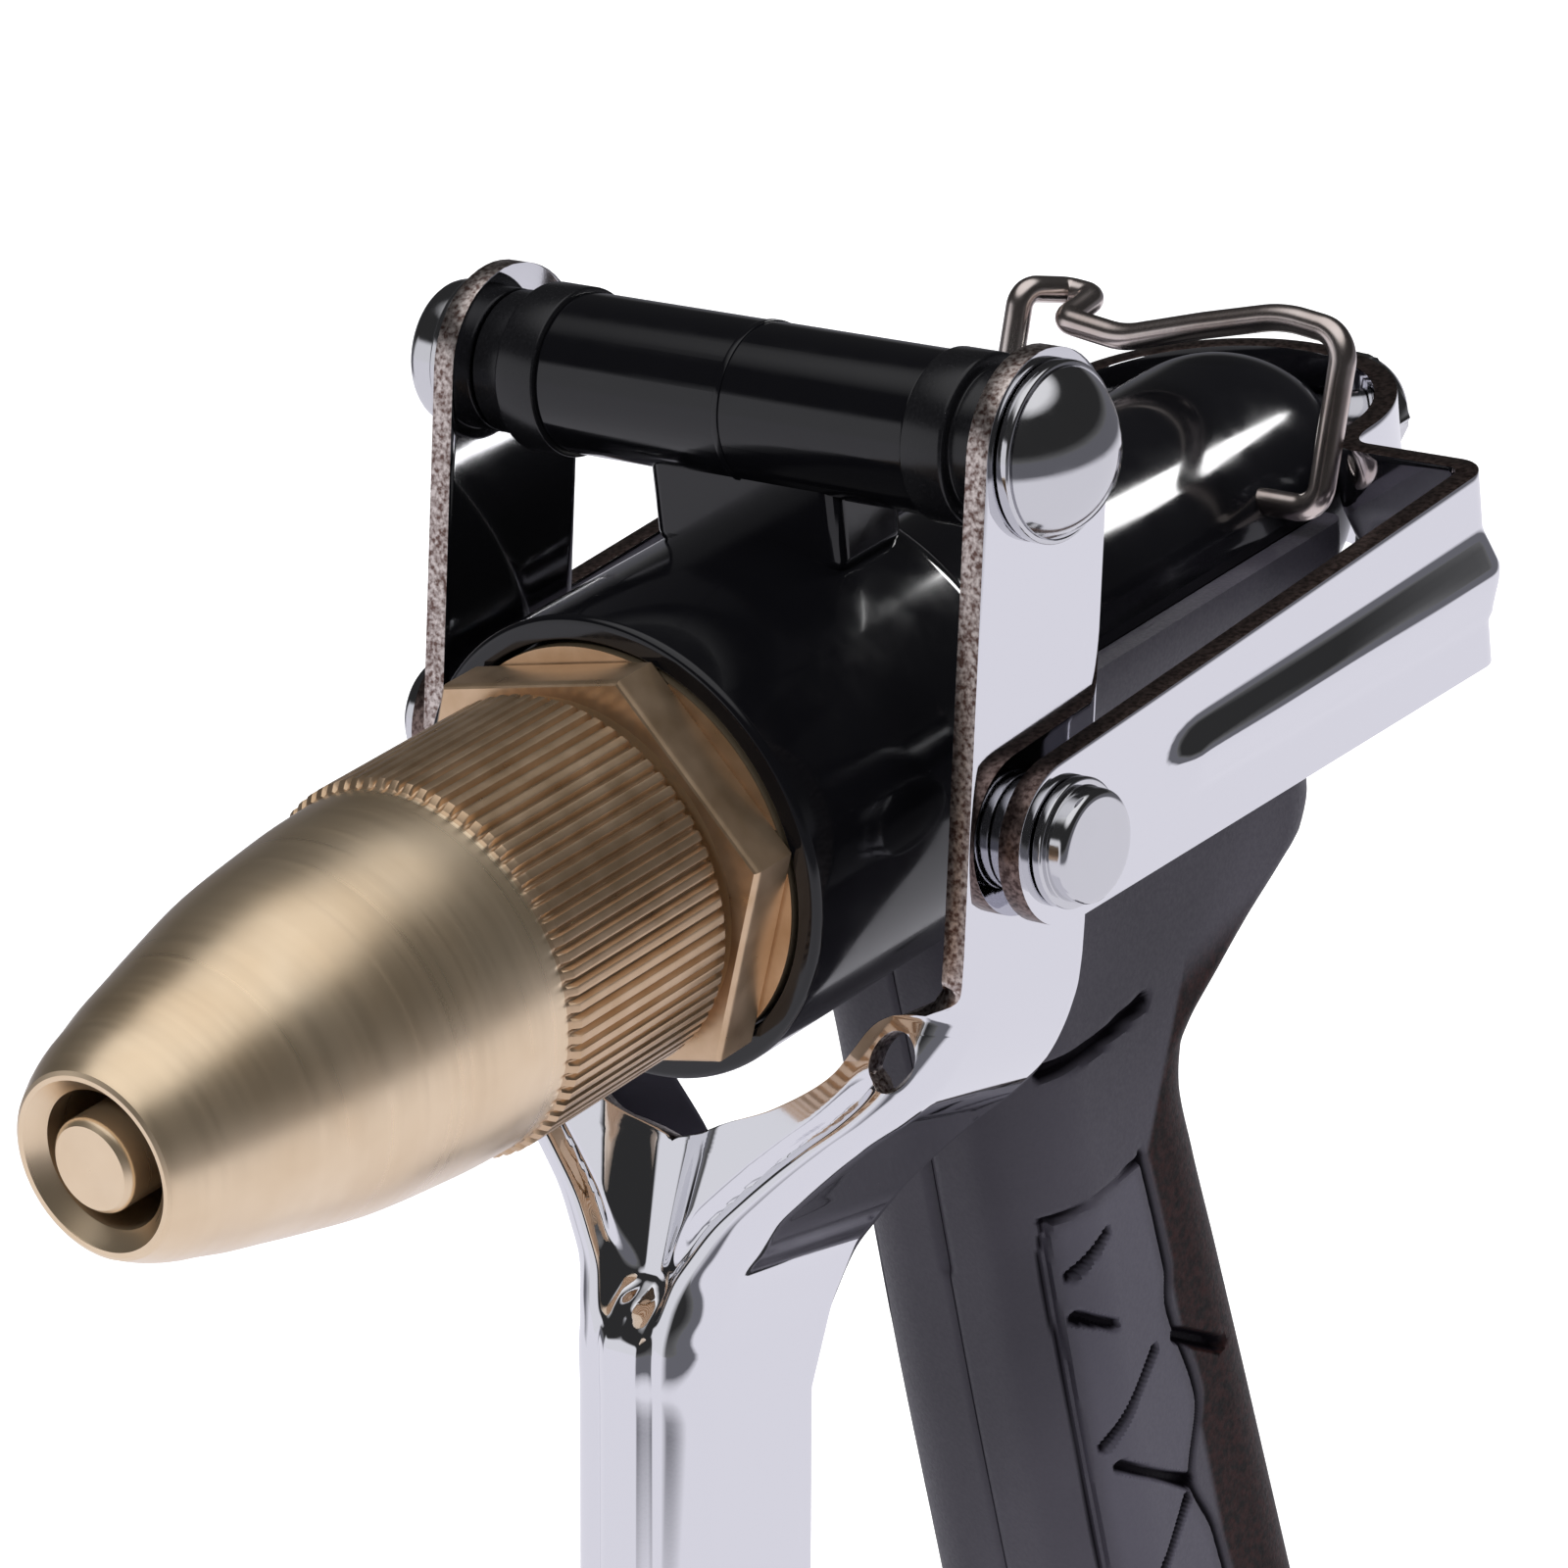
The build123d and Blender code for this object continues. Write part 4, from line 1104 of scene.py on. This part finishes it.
def build_grip():
    levels = np.concatenate([np.linspace(0, 0.23, 46), np.linspace(0.23, 0.34, 40)[1:],
                             np.linspace(0.34, 0.67, 165)[1:], np.linspace(0.67, 1.0, 80)[1:]])
    rows = [grip_row(share) for share in levels]
    points, cols = np.concatenate(rows), len(rows[0])
    faces = grid_faces(len(rows), cols, close_cols=True)
    faces += [tuple(range(cols)), tuple(reversed(range(len(points) - cols, len(points))))]
    for side, name, node in ((1, "grip_shell_right", "handle_right"), (-1, "grip_shell_left", "handle_left")):
        shell = mesh_object(name, points * np.array([side, 1, 1]), faces)
        cup = lathe("cut", [(-13, 15.1), (9.6, 15.1), (11.2, 13.0), (13.7, 9.3), (62.0, 9.3)], 128)
        combine(shell, cup, "DIFFERENCE")
        for at in SCREWS if side < 0 else ():
            combine(shell, rod("hole", 2.9, -14.0, -6.0, at), "DIFFERENCE")
        colour_grip(shell)
        finish_piece(shell, "frame", [GRIP], node, 34)


def build_screws():
    heads = []
    for at in SCREWS:
        profile = rounded([(-8.0, 0.4), (-8.0, 2.7), (-6.0, 2.7), (-6.0, 1.5), (6.4, 1.5)], [0.9, 0.1, 0], 5)
        heads.append(across("screw", profile, 48, at))
        for turn in (0.3, 0.3 + pi / 2):
            bar = box("slot", (-9.0, -1.5, -0.3), (-7.1, 1.5, 0.3))
            bar.data.transform(Matrix.Translation(Vector((0, *at)) * MM) @ Matrix.Rotation(turn, 4, "X"))
            combine(heads[-1], bar, "DIFFERENCE")
    finish_piece(joined("grip_screw_set", heads), "frame", [ZINC], "handle_screws")


# ---- hose inlet -----------------------------------------------------------------------
RIBS, COLLAR_R = 24, 15.5


def ribbed(along, radius, angle):
    """Grooves between the collar's ribs."""
    if radius < 15.3 or not 103.2 < along < 116.2:
        return radius
    phase = (angle * RIBS / (2 * pi)) % 1.0
    return radius - 0.75 * smooth(0.28, 0.46, 0.5 - abs(phase - 0.5))


def build_adapter():
    """Ribbed collar with an internal thread and its washer, turned about the grip's axis."""
    place = {"closed": True, "tilt": GRIP_LEAN - pi / 2, "centre": (0, GRIP_Y, 0)}
    outer = [(101.0, 7.2), (101.0, 14.6), (101.3, 15.2), (101.9, COLLAR_R)]
    outer += [(s, COLLAR_R) for s in (103.1, 103.6, 104.4, 115.0, 115.9, 116.4, 117.4)]
    outer += [(117.8, 15.3), (118.0, 14.9), (118.0, 13.0), (117.5, 12.45)]
    for s in (116.9, 114.7, 112.5, 110.3):
        outer += [(s, 12.3), (s - 0.9, 13.05), (s - 1.8, 12.3)]
    inner = [(107.0, 12.3), (107.0, 12.0), (104.0, 12.0), (104.0, 3.4), (98.0, 3.4), (98.0, 4.8), (90.0, 4.8),
             (90.0, 7.2)]
    collar = lathe("inlet_collar", outer + inner, RIBS * 10, ribbed, **place)
    finish_piece(collar, "frame", [INLET_PLASTIC], "inlet_adapter", 30)
    ring = [(104.0, 7.5), (104.0, 11.9), (106.7, 11.9), (106.7, 7.5), (104.0, 7.5)]
    washer = lathe("inlet_seal", rounded(ring, [0.2, 0.4, 0.4])[:-1], 96, **place)
    finish_piece(washer, "frame", [RUBBER], "inlet_washer")


for build in (build_barrel, build_core, build_sleeve, build_trigger, build_yoke, build_pins, build_bail,
              build_stem_end, build_grip, build_screws, build_adapter):
    build()

# ---- pieces inside, shown as the CAD has them -----------------------------------------
for inside_material, nodes in (
        (RUBBER, ("core_gasket", "gland_o_ring", "sleeve_o_ring", "valve_plug", "pipe_o_rings")),
        (BRASS, ("stem_gland", "inlet_pipe")), (ZINC, ("valve_stem",)), (SPRING, ("return_spring",))):
    for node in nodes:
        mesh = frame["nodes"][node].data
        mesh.materials.clear()
        mesh.materials.append(inside_material)
        mesh.shade_smooth()
        mesh.set_sharp_from_angle(angle=radians(35))

# ---- floor, light, camera -------------------------------------------------------------
low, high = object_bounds()
bpy.ops.mesh.primitive_plane_add(size=60, location=(0, 0, low.z - 0.0005))
floor = bpy.context.object
floor.name = "floor"
floor.data.materials.append(floor_material())


def area(name, where, target, width, height, power, mirrored=False):
    """Area lamp in metres about the barrel; mirrored ones can be seen in shiny surfaces."""
    lamp = bpy.data.lights.new(name, "AREA")
    lamp.shape, lamp.size, lamp.size_y, lamp.energy = "RECTANGLE", width, height, power
    obj = bpy.data.objects.new(name, lamp)
    bpy.context.scene.collection.objects.link(obj)
    obj.location = ORIGIN + Vector(where)
    obj.rotation_euler = (ORIGIN + Vector(target) - obj.location).to_track_quat("-Z", "Y").to_euler()
    obj.visible_glossy = mirrored
    return obj


area("key", (0.15, -0.75, 0.80), (0, 0, 0), 0.22, 0.16, 8.0)
area("rear_softbox", (0.45, 0.75, 0.70), (0, 0.02, 0), 0.30, 0.16, 5.0)
area("side_fill", (1.1, -0.3, 0.25), (0, 0, -0.03), 0.5, 0.5, 3.0)

# A small card lights only the barrel, so that its dome has the highlight of a window.
dome_card = area("dome_card", (0.0356, 0.0994, 0.0624), (0.006, 0.050, 0.0069), 0.020, 0.036, 0.058, True)
dome_card.visible_camera = False
barrel_only = bpy.data.collections.new("dome_card_receivers")
barrel_only.objects.link(bpy.data.objects["barrel_shell"])
dome_card.light_linking.receiver_collection = barrel_only

# The room the shiny parts mirror: dark at eye level, bright overhead, with a white card low on
# one side that the lever's front wall mirrors. The camera sees a plain pale background.
ROOM = ((0.0, 0.15), (0.05, 0.10), (0.14, 0.03), (0.74, 0.03), (0.86, 0.95), (0.97, 1.0))
world = bpy.data.worlds.new("studio")
bpy.context.scene.world = world
world.use_nodes = True
net = Net(world)
sky = net.node("TexCoord").outputs["Generated"]
height = net.split(sky)["Z"]
room = net.ramp(height, [(at, (level, level, level * 1.02)) for at, level in ROOM])
card_side = net.scaled(net.towards(sky, CARD_SIDE), 0.0, 1.0, 0.84, 0.92)
card_top = net.scaled(height, 1.0, 0.0, 0.34, 0.42)
mirrored_room = net.mixed(net.maths("MULTIPLY", card_side, card_top), room, (0.80, 0.80, 0.84, 1))
camera_ray = net.node("LightPath").outputs["Is Camera Ray"]
seen = net.mixed(camera_ray, mirrored_room, (0.96, 0.96, 0.96, 1))
net.link(seen, world.node_tree.nodes["Background"].inputs["Color"])

# The camera stands at the photo's angle: it looks at the barrel's origin from DISTANCE, moved by
# the shifts across and up the picture, in millimetres.
AZIMUTH, ELEVATION, ROLL = radians(39.641), radians(22.859), radians(-6.144)
SHIFT_X, SHIFT_Y, DISTANCE = -2.236, 0.671, 444.41
SENSOR, LENS = 36.0, 167.1759
back = Vector((sin(AZIMUTH) * cos(ELEVATION), -cos(AZIMUTH) * cos(ELEVATION), sin(ELEVATION)))
right = Vector((cos(AZIMUTH), sin(AZIMUTH), 0))
up = back.cross(right)
right, up = right * cos(ROLL) + up * sin(ROLL), up * cos(ROLL) - right * sin(ROLL)
camera_data = bpy.data.cameras.new("camera")
camera_data.sensor_width, camera_data.lens = SENSOR, LENS
camera = bpy.data.objects.new("camera", camera_data)
bpy.context.scene.collection.objects.link(camera)
place = ORIGIN + (back * DISTANCE - right * SHIFT_X - up * SHIFT_Y) * MM
camera.matrix_world = Matrix.Translation(place) @ Matrix((right, up, back)).transposed().to_4x4()
bpy.context.scene.camera = camera
bpy.context.scene.view_settings.view_transform = "Standard"
